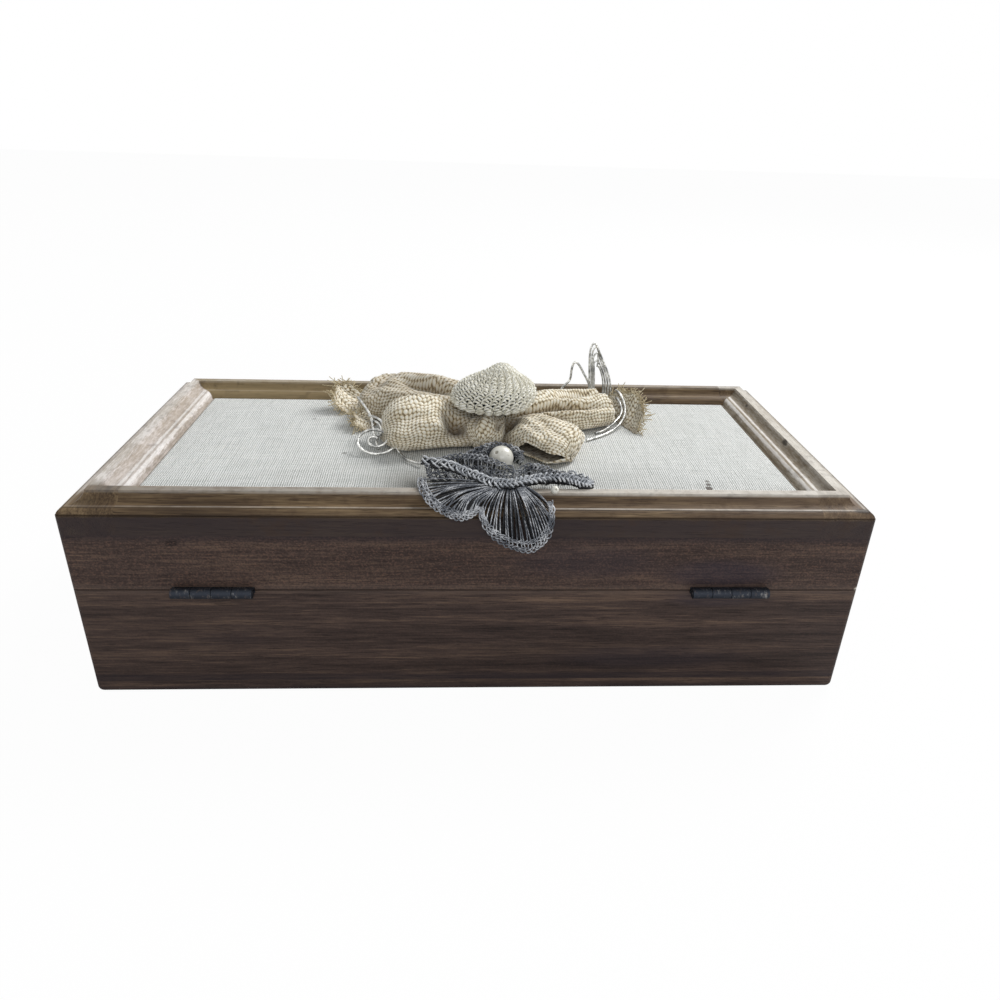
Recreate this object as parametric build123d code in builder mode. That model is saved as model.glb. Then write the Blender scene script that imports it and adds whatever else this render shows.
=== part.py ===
from build123d import *
import math
import os

# Wooden jewelry box, seen from its hinged back, which faces -Y. The opening front faces +Y.
# A moulded frame on the lid holds a linen covered panel, and the panel carries a burlap flower
# with wire, crochet and a pearl. The origin is the centre of the underside. Sizes are in mm.

os.makedirs("parts", exist_ok=True)

# Case
box_length = 254.0
box_depth = 124.4
base_height = 41.0
lid_wall_height = 19.4
seam_gap = 0.4
wall_thickness = 7.0
bottom_thickness = 5.0
corner_radius = 1.8
foot_edge_radius = 2.2
fit_clearance = 0.2

# Lid board, let into a rebate round the inside of the lid's walls
board_thickness = 3.0
rebate_width = 3.5

# Section of the frame's rails: band, quirk, bead, ledge, cove and top flat. The outer edge has a
# smaller bead and a wider cove than the inner edge, and its cove takes the height that is left.
band_height = 6.5
quirk_width = 0.6
outer_bead_radius = 2.1
outer_ledge_width = 0.6
outer_cove_width = 3.9
top_flat_width = 3.0
inner_cove_radius = 2.9
inner_ledge_width = 1.1
inner_bead_radius = 2.6

# Panel and its padded linen
panel_thickness = 6.0
panel_clearance = 0.3
linen_edge = 0.9
crown_rise = 1.1
crown_margin = 16.0

# Felt and dividers
floor_felt = 1.2
lid_felt = 1.0
divider_thickness = 4.0
divider_height = 24.0
long_divider_y = 8.0
cross_divider_x = 42.0
lap_clearance = 0.1

# Butt hinges, leaves let into the seam and barrels outside the back
hinge_length = 25.4
hinge_x = 83.1
leaf_thickness = 0.9
leaf_depth = 6.2
knuckle_radius = 1.7
knuckle_count = 4
knuckle_gap = 0.2
pin_radius = 0.8
pin_clearance = 0.05
barrel_clearance = 0.3
screw_spacing = 15.0
screw_length = 8.0
screw_radius = 0.9
screw_head_radius = 1.7
screw_tip = 2.0
screw_slot_width = 0.45
screw_slot_depth = 0.35
screw_clearance = 0.08

# Flower: burlap petals round a knitted dome
flower_x = 7.5
flower_y = -0.5
dome_radius = 15.5
dome_neck_radius = 4.5
dome_foot_z = 13.0
dome_height = 29.8
knit_rows = 8
flower_clearance = 0.3
petal_gap = 0.4
cloth_thickness = 1.3

# Each petal's direction round the flower, in degrees, and its size. The seam angles are the
# directions in which neighbouring petals meet.
back_left_angle = 151.0
back_left_reach = 60.0
back_left_width = 22.0
back_left_height = 16.5
front_left_angle = 185.0
front_left_reach = 42.0
front_left_width = 29.0
front_left_height = 15.0
front_right_angle = -38.0
front_right_width = 25.0
front_right_height = 13.5
front_right_lobe_gap = 0.8
right_angle = 24.0
right_reach = 50.5
right_width = 20.0
right_height = 13.0
mouth_depth = 9.0
back_seam_angle = 110.0
left_seam_angle = 171.0
front_left_edge_angle = 230.0
front_right_edge_angle = -66.0
right_seam_angle = -8.0
right_edge_angle = 60.0

# Frayed leaves beyond the outer petals
left_leaf_angle = 157.0
left_leaf_gap = 1.5
right_leaf_angle = 24.0
right_leaf_gap = 7.0
leaf_foot = 3.6
leaf_rise = 9.0
leaf_lean_angle = 60.0
leaf_width = 20.0

# Wire ornaments
wire_radius = 0.5
wire_sides = 8
spiral_x = -42.0
spiral_y = -14.5
spiral_tilt_angle = 24.0
spiral_first_radius = 1.8
spiral_growth = 1.6
spiral_half_turns = 4
loops_y = 34.0
small_loop_spacing = 10.5
small_loop_height = 20.5
small_loop_width = 8.5
tall_loop_setback = 7.5
tall_loop_height = 28.0
tall_loop_width = 9.0
strand_spacing = 2.2
strand_count = 3
loop_tip_radius = 1.3
bow_top_rise = 10.0
bow_clearance = 5.4
bow_angle = 18.0
bow_middle_rise = 4.6
bow_foot_setback = 13.0
bow_foot_y = -1.5

# Crochet work over the back rail, and its beads
crochet_thickness = 1.5
left_fan_x = -8.6
left_fan_radius = 10.0
centre_fan_x = 14.0
centre_fan_radius = 10.6
centre_fan_drop = 15.4
left_fan_drop = 5.6
fan_overhang = 2.6
fan_bend_radius = 5.0
rim_radius = 1.3
rim_x = 9.5
rim_half_span = 28.5
rim_sweep = 8.0
lobe_height = 8.6
lobe_width = 11.0
lobe_length = 23.0
lobe_inset = 6.3
left_lobe_x = -4.6
right_lobe_x = 25.2
pearl_radius = 4.2
pearl_x = 9.2
pearl_inset = 16.2
bead_seat = 0.3
small_bead_radius = 1.35
small_bead_x = 25.2

# Levels and places worked out from the sizes above
base_top = base_height
lid_bottom = base_top + seam_gap
lid_top = lid_bottom + lid_wall_height
rail_height = band_height + inner_bead_radius + inner_cove_radius
outer_edge_width = quirk_width + outer_bead_radius + outer_ledge_width + outer_cove_width
inner_edge_width = quirk_width + inner_bead_radius + inner_ledge_width + inner_cove_radius
rail_width = outer_edge_width + top_flat_width + inner_edge_width
frame_top = lid_top + rail_height
inner_length = box_length - 2 * wall_thickness
inner_depth = box_depth - 2 * wall_thickness
opening_length = box_length - 2 * rail_width
opening_depth = box_depth - 2 * rail_width
panel_length = opening_length - 2 * panel_clearance
panel_depth = opening_depth - 2 * panel_clearance
panel_top = lid_top + panel_thickness
linen_top = panel_top + linen_edge + crown_rise
floor_top = bottom_thickness + floor_felt
back_y = -box_depth / 2
barrel_y = back_y - barrel_clearance - knuckle_radius
barrel_z = base_top + seam_gap / 2
panel_edge_y = back_y + rail_width
lobe_y = panel_edge_y + lobe_inset

# Bottom board, under the walls, with its lower edges eased
with BuildPart() as bottom_board:
    with BuildSketch():
        RectangleRounded(box_length, box_depth, corner_radius)
    extrude(amount=bottom_thickness)
    fillet(bottom_board.faces().sort_by(Axis.Z)[0].edges(), foot_edge_radius)
bottom_board.part.label = "bottom_board"
export_step(bottom_board.part, "parts/bottom_board.step")

# Side walls of base and lid run the full depth; the lid's are rebated for the board
for level, floor, height in (("base", bottom_thickness, base_height - bottom_thickness),
                             ("lid", lid_bottom, lid_wall_height)):
    for side, direction in (("left", -1), ("right", 1)):
        with BuildPart() as side_wall:
            with BuildSketch(Plane.XY.offset(floor)):
                with Locations((direction * (box_length - wall_thickness) / 2, 0)):
                    Rectangle(wall_thickness, box_depth)
            extrude(amount=height)
            outer_face = side_wall.faces().sort_by(Axis.X)[0 if direction < 0 else -1]
            fillet(outer_face.edges().filter_by(Axis.Z), corner_radius)
            if level == "lid":
                with BuildSketch(Plane.XY.offset(lid_top)):
                    Rectangle(inner_length + 2 * rebate_width, inner_depth + 2 * rebate_width)
                extrude(amount=-board_thickness, mode=Mode.SUBTRACT)
        side_wall.part.label = f"{level}_{side}_wall"
        export_step(side_wall.part, f"parts/{level}_{side}_wall.step")

# Long walls stand between the side walls; the back ones are let in for the hinge leaves
screw_places = [(x, back_y + wall_thickness / 2)
                for hinge in (-hinge_x, hinge_x)
                for x in (hinge - screw_spacing / 2, hinge + screw_spacing / 2)]
for level, floor, height in (("base", bottom_thickness, base_height - bottom_thickness),
                             ("lid", lid_bottom, lid_wall_height)):
    for side, direction in (("back", -1), ("front", 1)):
        with BuildPart() as long_wall:
            with BuildSketch(Plane.XY.offset(floor)):
                with Locations((0, direction * (box_depth - wall_thickness) / 2)):
                    Rectangle(inner_length, wall_thickness)
            extrude(amount=height)
            if level == "lid":
                with BuildSketch(Plane.XY.offset(lid_top)):
                    Rectangle(inner_length + 2 * rebate_width, inner_depth + 2 * rebate_width)
                extrude(amount=-board_thickness, mode=Mode.SUBTRACT)
            if side == "back":
                seam = Plane.XY.offset(base_top) if level == "base" else Plane.XY.offset(lid_bottom)
                into_wood = -1 if level == "base" else 1
                with BuildSketch(seam):
                    with Locations((-hinge_x, back_y + leaf_depth / 2), (hinge_x, back_y + leaf_depth / 2)):
                        Rectangle(hinge_length + 2 * fit_clearance, leaf_depth + fit_clearance)
                extrude(amount=into_wood * leaf_thickness, mode=Mode.SUBTRACT)
                with BuildSketch(seam):
                    with Locations(*screw_places):
                        Circle(screw_radius + screw_clearance)
                extrude(amount=into_wood * (screw_length + fit_clearance), mode=Mode.SUBTRACT)
        long_wall.part.label = f"{level}_{side}_wall"
        export_step(long_wall.part, f"parts/{level}_{side}_wall.step")

# Felt on the floor
with BuildPart() as floor_lining:
    with BuildSketch(Plane.XY.offset(bottom_thickness)):
        Rectangle(inner_length - 2 * fit_clearance, inner_depth - 2 * fit_clearance)
    extrude(amount=floor_felt)
floor_lining.part.label = "floor_lining"
export_step(floor_lining.part, "parts/floor_lining.step")

# Dividers, halved over each other: the long one is cut from above, the cross ones from below
slot_width = divider_thickness + 2 * lap_clearance
slot_depth = divider_height / 2 + lap_clearance
with BuildPart() as long_divider:
    with BuildSketch(Plane.XY.offset(floor_top)):
        with Locations((0, long_divider_y)):
            Rectangle(inner_length - 2 * fit_clearance, divider_thickness)
    extrude(amount=divider_height)
    with BuildSketch(Plane.XY.offset(floor_top + divider_height)):
        with Locations((-cross_divider_x, long_divider_y), (cross_divider_x, long_divider_y)):
            Rectangle(slot_width, slot_width)
    extrude(amount=-slot_depth, mode=Mode.SUBTRACT)
long_divider.part.label = "long_divider"
export_step(long_divider.part, "parts/long_divider.step")

for side, direction in (("left", -1), ("right", 1)):
    with BuildPart() as cross_divider:
        with BuildSketch(Plane.XY.offset(floor_top)):
            with Locations((direction * cross_divider_x, 0)):
                Rectangle(divider_thickness, inner_depth - 2 * fit_clearance)
        extrude(amount=divider_height)
        with BuildSketch(Plane.XY.offset(floor_top)):
            with Locations((direction * cross_divider_x, long_divider_y)):
                Rectangle(slot_width, slot_width)
        extrude(amount=slot_depth, mode=Mode.SUBTRACT)
    cross_divider.part.label = f"{side}_cross_divider"
    export_step(cross_divider.part, f"parts/{side}_cross_divider.step")

# Board that closes the lid, and the felt under it
with BuildPart() as lid_board:
    with BuildSketch(Plane.XY.offset(lid_top)):
        Rectangle(inner_length + 2 * (rebate_width - fit_clearance),
                  inner_depth + 2 * (rebate_width - fit_clearance))
    extrude(amount=-board_thickness)
lid_board.part.label = "lid_board"
export_step(lid_board.part, "parts/lid_board.step")

with BuildPart() as lid_lining:
    with BuildSketch(Plane.XY.offset(lid_top - board_thickness)):
        Rectangle(inner_length - 2 * fit_clearance, inner_depth - 2 * fit_clearance)
    extrude(amount=-lid_felt)
lid_lining.part.label = "lid_lining"
export_step(lid_lining.part, "parts/lid_lining.step")

# Frame rails. The frame is glued up square and then routed all round, so its shape is one routed
# block less one routed opening. Both are made as a section across the depth, crossed with the same
# section across the length, which gives the corners the mitred look that a router leaves.


def across_depth(height):
    """Upright plane at a height, for a section across the box's depth."""
    return Plane((0, 0, height), x_dir=(0, 1, 0), z_dir=(1, 0, 0))


def across_length(height):
    """Upright plane at a height, for a section across the box's length."""
    return Plane((0, 0, height), x_dir=(1, 0, 0), z_dir=(0, -1, 0))


def routed_section(half_span, inward, bead_radius, ledge_width, cove_width):
    """Face between two routed edges at plus and minus half_span; inward is 1 where the edges lean in."""
    diagonal = math.sqrt(0.5)
    edge_x = -half_span
    bead_foot_x = edge_x + inward * quirk_width
    bead_top_x = bead_foot_x + inward * bead_radius
    cove_foot_x = bead_top_x + inward * ledge_width
    cove_top_x = cove_foot_x + inward * cove_width
    ledge_z = band_height + bead_radius
    cove_height = rail_height - ledge_z
    bead_middle = (bead_top_x - inward * bead_radius * diagonal, band_height + bead_radius * diagonal)
    cove_middle = (cove_foot_x + inward * cove_width * diagonal, rail_height - cove_height * diagonal)
    with BuildLine() as outline:
        Polyline((0, 0), (edge_x, 0), (edge_x, band_height), (bead_foot_x, band_height))
        ThreePointArc((bead_foot_x, band_height), bead_middle, (bead_top_x, ledge_z))
        Line((bead_top_x, ledge_z), (cove_foot_x, ledge_z))
        ThreePointArc((cove_foot_x, ledge_z), cove_middle, (cove_top_x, rail_height))
        Line((cove_top_x, rail_height), (0, rail_height))
        mirror(about=Plane.YZ)
    make_face(outline.edges())


inner_profile = (inner_bead_radius, inner_ledge_width, inner_cove_radius)
outer_profile = (outer_bead_radius, outer_ledge_width, outer_cove_width)

with BuildPart() as frame_opening:
    with BuildSketch(across_depth(lid_top)):
        routed_section(opening_depth / 2, -1, *inner_profile)
    extrude(amount=box_length, both=True)
    with BuildSketch(across_length(lid_top)):
        routed_section(opening_length / 2, -1, *inner_profile)
    extrude(amount=box_depth, both=True, mode=Mode.INTERSECT)

with BuildPart() as routed_frame:
    with BuildSketch(across_depth(lid_top)):
        routed_section(box_depth / 2, 1, *outer_profile)
    extrude(amount=box_length, both=True)
    with BuildSketch(across_length(lid_top)):
        routed_section(box_length / 2, 1, *outer_profile)
    extrude(amount=box_depth, both=True, mode=Mode.INTERSECT)
    with BuildSketch(Plane.XY.offset(lid_top)):
        RectangleRounded(box_length, box_depth, corner_radius)
    extrude(amount=rail_height, mode=Mode.INTERSECT)
    add(frame_opening.part, mode=Mode.SUBTRACT)

# The side rails run the full depth, and the long rails are butted between them
for side, direction in (("left", -1), ("right", 1)):
    with BuildPart() as side_rail:
        add(routed_frame.part)
        split(bisect_by=Plane((direction * opening_length / 2, 0, 0), z_dir=(direction, 0, 0)))
    side_rail.part.label = f"{side}_rail"
    export_step(side_rail.part, f"parts/{side}_rail.step")

for side, direction in (("back", -1), ("front", 1)):
    with BuildPart() as long_rail:
        add(routed_frame.part)
        split(bisect_by=Plane((-opening_length / 2, 0, 0), z_dir=(1, 0, 0)))
        split(bisect_by=Plane((opening_length / 2, 0, 0), z_dir=(-1, 0, 0)))
        split(bisect_by=Plane((0, 0, 0), z_dir=(0, direction, 0)))
    long_rail.part.label = f"{side}_rail"
    export_step(long_rail.part, f"parts/{side}_rail.step")

# Panel board inside the frame
with BuildPart() as panel_board:
    with BuildSketch(Plane.XY.offset(lid_top)):
        Rectangle(panel_length, panel_depth)
    extrude(amount=panel_thickness)
panel_board.part.label = "panel_board"
export_step(panel_board.part, "parts/panel_board.step")


# Linen over a thin pad: flat in the middle, rolled down towards the frame on all four sides
def crowned_section(half_span):
    """Face with a flat top that curves down over crown_margin at both ends."""
    shoulder = (-half_span + crown_margin, linen_edge + crown_rise)
    with BuildLine() as outline:
        Polyline((0, 0), (-half_span, 0), (-half_span, linen_edge))
        TangentArc(shoulder, (-half_span, linen_edge), tangent=(-1, 0))
        Line(shoulder, (0, linen_edge + crown_rise))
        mirror(about=Plane.YZ)
    make_face(outline.edges())


with BuildPart() as linen_cover:
    with BuildSketch(across_depth(panel_top)):
        crowned_section(panel_depth / 2)
    extrude(amount=panel_length / 2, both=True)
    with BuildSketch(across_length(panel_top)):
        crowned_section(panel_length / 2)
    extrude(amount=panel_depth / 2, both=True, mode=Mode.INTERSECT)
linen_cover.part.label = "linen_cover"
export_step(linen_cover.part, "parts/linen_cover.step")



def barrel_plane(place_x):
    """Plane across the hinge barrels, centred on their axis."""
    return Plane((place_x, barrel_y, barrel_z), x_dir=(0, 1, 0), z_dir=(1, 0, 0))


# Hinges. Base leaves carry the first and third knuckle, lid leaves the second and fourth.
knuckle_pitch = hinge_length / knuckle_count
knuckle_length = knuckle_pitch - knuckle_gap
for level, up in (("base", -1), ("lid", 1)):
    leaf_face = base_top if level == "base" else lid_bottom
    first_knuckle = 0 if level == "base" else 1
    for side, hinge in (("left", -hinge_x), ("right", hinge_x)):
        start_x = hinge - hinge_length / 2
        with BuildPart() as hinge_leaf:
            with BuildSketch(Plane.XY.offset(leaf_face)):
                with Locations((hinge, back_y + leaf_depth / 2)):
                    Rectangle(hinge_length, leaf_depth)
            extrude(amount=up * leaf_thickness)
            for knuckle in range(first_knuckle, knuckle_count, 2):
                knuckle_x = start_x + knuckle * knuckle_pitch + knuckle_gap / 2
                tongue_depth = back_y + leaf_depth / 2 - barrel_y
                with BuildSketch(barrel_plane(knuckle_x)):
                    Circle(knuckle_radius)
                    with Locations((tongue_depth / 2, up * (seam_gap + leaf_thickness) / 2)):
                        Rectangle(tongue_depth, leaf_thickness)
                extrude(amount=knuckle_length)
            with BuildSketch(barrel_plane(start_x)):
                Circle(pin_radius + pin_clearance)
            extrude(amount=hinge_length, mode=Mode.SUBTRACT)
            outward = Plane((0, 0, leaf_face), x_dir=(1, 0, 0), z_dir=(0, 0, -up))
            with Locations(*[outward.location * Location((x, -up * y, 0)) for x, y in screw_places]):
                CounterSinkHole(screw_radius + screw_clearance, screw_head_radius + screw_clearance,
                                counter_sink_angle=90)
        hinge_leaf.part.label = f"{side}_hinge_{level}_leaf"
        export_step(hinge_leaf.part, f"parts/{side}_hinge_{level}_leaf.step")

for side, hinge in (("left", -hinge_x), ("right", hinge_x)):
    with BuildPart() as hinge_pin:
        with BuildSketch(barrel_plane(hinge - hinge_length / 2)):
            Circle(pin_radius)
        extrude(amount=hinge_length)
        chamfer(hinge_pin.edges().filter_by(GeomType.CIRCLE), pin_radius / 4)
    hinge_pin.part.label = f"{side}_hinge_pin"
    export_step(hinge_pin.part, f"parts/{side}_hinge_pin.step")

# Countersunk screws, one group in the base and one in the lid
for level, up in (("base", -1), ("lid", 1)):
    head_z = base_top if level == "base" else lid_bottom
    with BuildPart() as hinge_screws:
        for x, y in screw_places:
            with BuildSketch(Plane((x, y, head_z), x_dir=(1, 0, 0), z_dir=(0, -1, 0))):
                with BuildLine():
                    Polyline((0, 0), (screw_head_radius, 0),
                             (screw_radius, up * (screw_head_radius - screw_radius)),
                             (screw_radius, up * (screw_length - screw_tip)),
                             (0, up * screw_length), close=True)
                make_face()
            revolve(axis=Axis((x, y, 0), (0, 0, 1)))
        with BuildSketch(Plane.XY.offset(head_z)):
            with Locations(*screw_places):
                Rectangle(2 * screw_head_radius, screw_slot_width)
        extrude(amount=up * screw_slot_depth, mode=Mode.SUBTRACT)
    hinge_screws.part.label = f"{level}_hinge_screws"
    export_step(hinge_screws.part, f"parts/{level}_hinge_screws.step")

# Knitted dome, one band for each row of knitting, on a neck that goes down to the linen between the
# petals. Its radius follows a sine from the foot, fullest at a third of the height, to the peak.
with BuildPart() as knit_dome:
    row_shares = [row / knit_rows for row in range(knit_rows)]
    with BuildSketch(Plane((flower_x, flower_y, linen_top), x_dir=(1, 0, 0), z_dir=(0, -1, 0))):
        with BuildLine():
            Polyline((0, 0), (dome_neck_radius, 0), (dome_neck_radius, dome_foot_z),
                     *[(dome_radius * math.sin(math.pi * (0.27 + 0.73 * share ** 0.8)),
                        dome_foot_z + (dome_height - dome_foot_z) * share) for share in row_shares],
                     (0, dome_height), close=True)
        make_face()
    revolve(axis=Axis((flower_x, flower_y, 0), (0, 0, 1)))
knit_dome.part.label = "knit_dome"
export_step(knit_dome.part, "parts/knit_dome.step")


def radial_plane(direction, distance):
    """Upright plane at a distance from the flower's centre, facing outwards along the direction."""
    angle = math.radians(direction)
    outward = (math.cos(angle), math.sin(angle), 0)
    sideways = (-math.sin(angle), math.cos(angle), 0)
    origin = (flower_x + distance * outward[0], flower_y + distance * outward[1], linen_top)
    return Plane(origin, x_dir=sideways, z_dir=outward)


def petal_section(half_width, crest):
    """Face of folded cloth laid on the linen: a flat foot, upright sides and a rounded crest."""
    shoulder_z = crest - half_width / 2
    with BuildLine() as outline:
        Polyline((half_width, shoulder_z), (half_width, 0), (-half_width, 0), (-half_width, shoulder_z))
        ThreePointArc((-half_width, shoulder_z), (0, crest), (half_width, shoulder_z))
    make_face(outline.edges())


# Burlap petals: folds of cloth, narrow under the dome and full at their middle. The left ones are
# tucked in at their ends, and the right ones end in an open mouth. A section gives its share of the
# petal's reach, of its width and of its height.
tucked = ((0.18, 0.55, 0.45), (0.4, 0.92, 0.88), (0.6, 1.0, 1.0), (0.8, 0.97, 0.98),
          (0.93, 0.82, 0.8), (1.0, 0.55, 0.5))
open_ended = ((0.18, 0.55, 0.5), (0.45, 0.9, 0.9), (0.75, 1.0, 1.0), (1.0, 0.96, 0.86))
front_turn = math.radians(-front_right_angle)
lobe_back_y = lobe_y + lobe_width / 2
front_right_run = flower_y - front_right_width / 2 * math.cos(front_turn) - lobe_back_y
front_right_reach = (front_right_run - front_right_lobe_gap) / math.sin(front_turn)
petals = (
    ("back_left_petal", back_left_angle, back_seam_angle, left_seam_angle,
     back_left_reach, back_left_width, back_left_height, tucked),
    ("front_left_petal", front_left_angle, left_seam_angle, front_left_edge_angle,
     front_left_reach, front_left_width, front_left_height, tucked),
    ("front_right_petal", front_right_angle, front_right_edge_angle, right_seam_angle,
     front_right_reach, front_right_width, front_right_height, open_ended),
    ("right_petal", right_angle, right_seam_angle, right_edge_angle,
     right_reach, right_width, right_height, open_ended),
)
for name, direction, first_seam, last_seam, reach, width, height, sections in petals:
    with BuildPart() as petal:
        for distance_share, width_share, height_share in sections:
            with BuildSketch(radial_plane(direction, reach * distance_share)):
                petal_section(width * width_share / 2, height * height_share)
        loft(ruled=True)
        if sections is open_ended:
            mouth_half_width = width * width_share / 2 - 2 * cloth_thickness
            mouth_crest = height * height_share - 3 * cloth_thickness
            mouth = radial_plane(direction, reach)
            mouth_origin = mouth.origin + (0, 0, cloth_thickness)
            with BuildSketch(Plane(mouth_origin, x_dir=mouth.x_dir, z_dir=mouth.z_dir)):
                petal_section(mouth_half_width, mouth_crest)
            extrude(amount=-mouth_depth, mode=Mode.SUBTRACT)
        far = 2 * reach
        seams = [math.radians(first_seam), math.radians(last_seam)]
        with BuildSketch(Plane((flower_x, flower_y, linen_top))):
            with BuildLine():
                seam_ends = [(far * math.cos(seam), far * math.sin(seam)) for seam in seams]
                Polyline((0, 0), *seam_ends, close=True)
            make_face()
            offset(amount=-petal_gap / 2, kind=Kind.INTERSECTION)
        extrude(amount=2 * height, mode=Mode.INTERSECT)
        with BuildSketch(Plane((flower_x, flower_y, linen_top + dome_foot_z - flower_clearance))):
            Circle(dome_radius + flower_clearance)
        extrude(amount=dome_height, mode=Mode.SUBTRACT)
    petal.part.label = name
    export_step(petal.part, f"parts/{name}.step")

# Frayed burlap leaves beyond the outer petals: a foot glued down flat, then a rising blade
for name, direction, start in (("left_leaf", left_leaf_angle, back_left_reach + left_leaf_gap),
                               ("right_leaf", right_leaf_angle, right_reach + right_leaf_gap)):
    blade_run = leaf_rise / math.tan(math.radians(leaf_lean_angle))
    middle = cloth_thickness / 2
    side_view = radial_plane(direction, start)
    with BuildPart() as leaf:
        with BuildSketch(Plane(side_view.origin, x_dir=side_view.z_dir, z_dir=-side_view.x_dir)):
            with BuildLine():
                FilletPolyline((0, middle), (leaf_foot, middle), (leaf_foot + blade_run, middle + leaf_rise),
                               radius=leaf_foot / 2)
            trace(line_width=cloth_thickness)
        extrude(amount=leaf_width / 2, both=True)
    leaf.part.label = name
    export_step(leaf.part, f"parts/{name}.step")


def least_gap(path, radius):
    """Least space between two stretches of one tube that lie more than half a turn apart."""
    samples = 240
    points = [path.position_at(step / samples) for step in range(samples + 1)]
    apart = samples // 6
    return min((points[first] - points[second]).length
               for first in range(samples + 1)
               for second in range(first + apart, samples + 1)) - 2 * radius


# Silver wire spiral that lies tilted on the linen, left of the flower
outer_radius = spiral_first_radius + spiral_growth * (spiral_half_turns - 1)
spiral_lift = wire_radius + (outer_radius + wire_radius) * math.sin(math.radians(spiral_tilt_angle))
tilt = math.radians(spiral_tilt_angle)
spiral_plane = Plane((spiral_x, spiral_y, linen_top + spiral_lift),
                     x_dir=(1, 0, 0), z_dir=(0, -math.sin(tilt), math.cos(tilt)))
with BuildPart() as wire_spiral:
    with BuildLine(spiral_plane) as spiral_path:
        turn_x = 0
        heading = 1
        for half_turn in range(spiral_half_turns):
            turn_radius = spiral_first_radius + spiral_growth * half_turn
            next_x = turn_x + heading * 2 * turn_radius
            ThreePointArc((turn_x, 0), ((turn_x + next_x) / 2, heading * turn_radius), (next_x, 0))
            turn_x = next_x
            heading = -heading
    wire_line = spiral_path.wires()[0]
    with BuildSketch(Plane(wire_line @ 0, z_dir=wire_line % 0)):
        RegularPolygon(wire_radius, wire_sides)
    sweep(path=wire_line)
wire_spiral.part.label = "wire_spiral"
export_step(wire_spiral.part, "parts/wire_spiral.step")
print("wire spiral, least gap", round(least_gap(wire_line, wire_radius), 2))


# Standing wire loops behind the right petal: hairpins that start below the linen and are cut there
tall_loop_x = flower_x + right_reach - tall_loop_setback
small_loop_x = tall_loop_x - small_loop_spacing
for name, middle_x, width, height, strands in (
        ("small_wire_loop", small_loop_x, small_loop_width, small_loop_height, 1),
        ("tall_wire_loops", tall_loop_x, tall_loop_width, tall_loop_height, strand_count)):
    below = height / 10
    tip_centre = height - wire_radius - loop_tip_radius
    reach = math.hypot(width / 2, tip_centre + below)
    leg = math.sqrt(reach ** 2 - loop_tip_radius ** 2)
    leg_angle = math.atan2(tip_centre + below, width / 2) + math.asin(loop_tip_radius / reach)
    leg_top_x = leg * math.cos(leg_angle) - width / 2
    leg_top_z = leg * math.sin(leg_angle) - below
    with BuildPart() as wire_loop:
        for strand in range(strands):
            strand_y = loops_y + strand * strand_spacing
            upright = Plane((middle_x, strand_y, linen_top), x_dir=(1, 0, 0), z_dir=(0, -1, 0))
            tip = (0, tip_centre + loop_tip_radius)
            with BuildLine(upright) as loop_path:
                Line((-width / 2, -below), (leg_top_x, leg_top_z))
                ThreePointArc((leg_top_x, leg_top_z), tip, (-leg_top_x, leg_top_z))
                Line((-leg_top_x, leg_top_z), (width / 2, -below))
            loop_line = loop_path.wires()[0]
            with BuildSketch(Plane(loop_line @ 0, z_dir=loop_line % 0)):
                RegularPolygon(wire_radius, wire_sides)
            sweep(path=loop_line)
        split(bisect_by=Plane.XY.offset(linen_top))
    wire_loop.part.label = name
    export_step(wire_loop.part, f"parts/{name}.step")

# Wire bow that runs from the standing loops round the right petal and down to the linen
bow_middle_x = flower_x + (right_reach + bow_clearance) * math.cos(math.radians(bow_angle))
bow_middle_y = flower_y + (right_reach + bow_clearance) * math.sin(math.radians(bow_angle))
bow_foot_x = flower_x + right_reach - bow_foot_setback
with BuildPart() as wire_bow:
    with BuildLine() as bow_path:
        ThreePointArc((tall_loop_x + 2 * tall_loop_width / 2, loops_y, linen_top + bow_top_rise),
                      (bow_middle_x, bow_middle_y, linen_top + bow_middle_rise),
                      (bow_foot_x, bow_foot_y, linen_top + wire_radius))
    bow_line = bow_path.wires()[0]
    with BuildSketch(Plane(bow_line @ 0, z_dir=bow_line % 0)):
        RegularPolygon(wire_radius, wire_sides)
    sweep(path=bow_line)
wire_bow.part.label = "wire_bow"
export_step(wire_bow.part, "parts/wire_bow.step")

# Crochet fans that lie on the back rail and hang over its edge
rail_flat_y = back_y + outer_edge_width
side_plane = Plane((0, back_y, frame_top), x_dir=(0, 1, 0), z_dir=(1, 0, 0))
slanted = Plane((0, back_y, frame_top), x_dir=(1, 0, 0), z_dir=(0, -1, 1))
half_thread = crochet_thickness / 2
on_rail = outer_edge_width + top_flat_width
for name, fan_x, fan_radius, drop in (("left_fan", left_fan_x, left_fan_radius, left_fan_drop),
                                      ("centre_fan", centre_fan_x, centre_fan_radius, centre_fan_drop)):
    slant_top = on_rail / math.sqrt(2)
    slant_foot = -(drop + fan_overhang) / math.sqrt(2)
    with BuildPart() as fan:
        with BuildSketch(side_plane):
            with BuildLine():
                FilletPolyline((on_rail, half_thread), (-fan_overhang, half_thread),
                               (-fan_overhang, -drop), radius=fan_bend_radius)
            trace(line_width=crochet_thickness)
        extrude(amount=box_length / 2, both=True)
        with BuildSketch(slanted):
            with Locations((fan_x, (slant_top + slant_foot) / 2)):
                Ellipse(fan_radius, (slant_top - slant_foot) / 2)
        extrude(amount=box_depth, both=True, mode=Mode.INTERSECT)
    fan.part.label = f"crochet_{name}"
    export_step(fan.part, f"parts/crochet_{name}.step")

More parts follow.
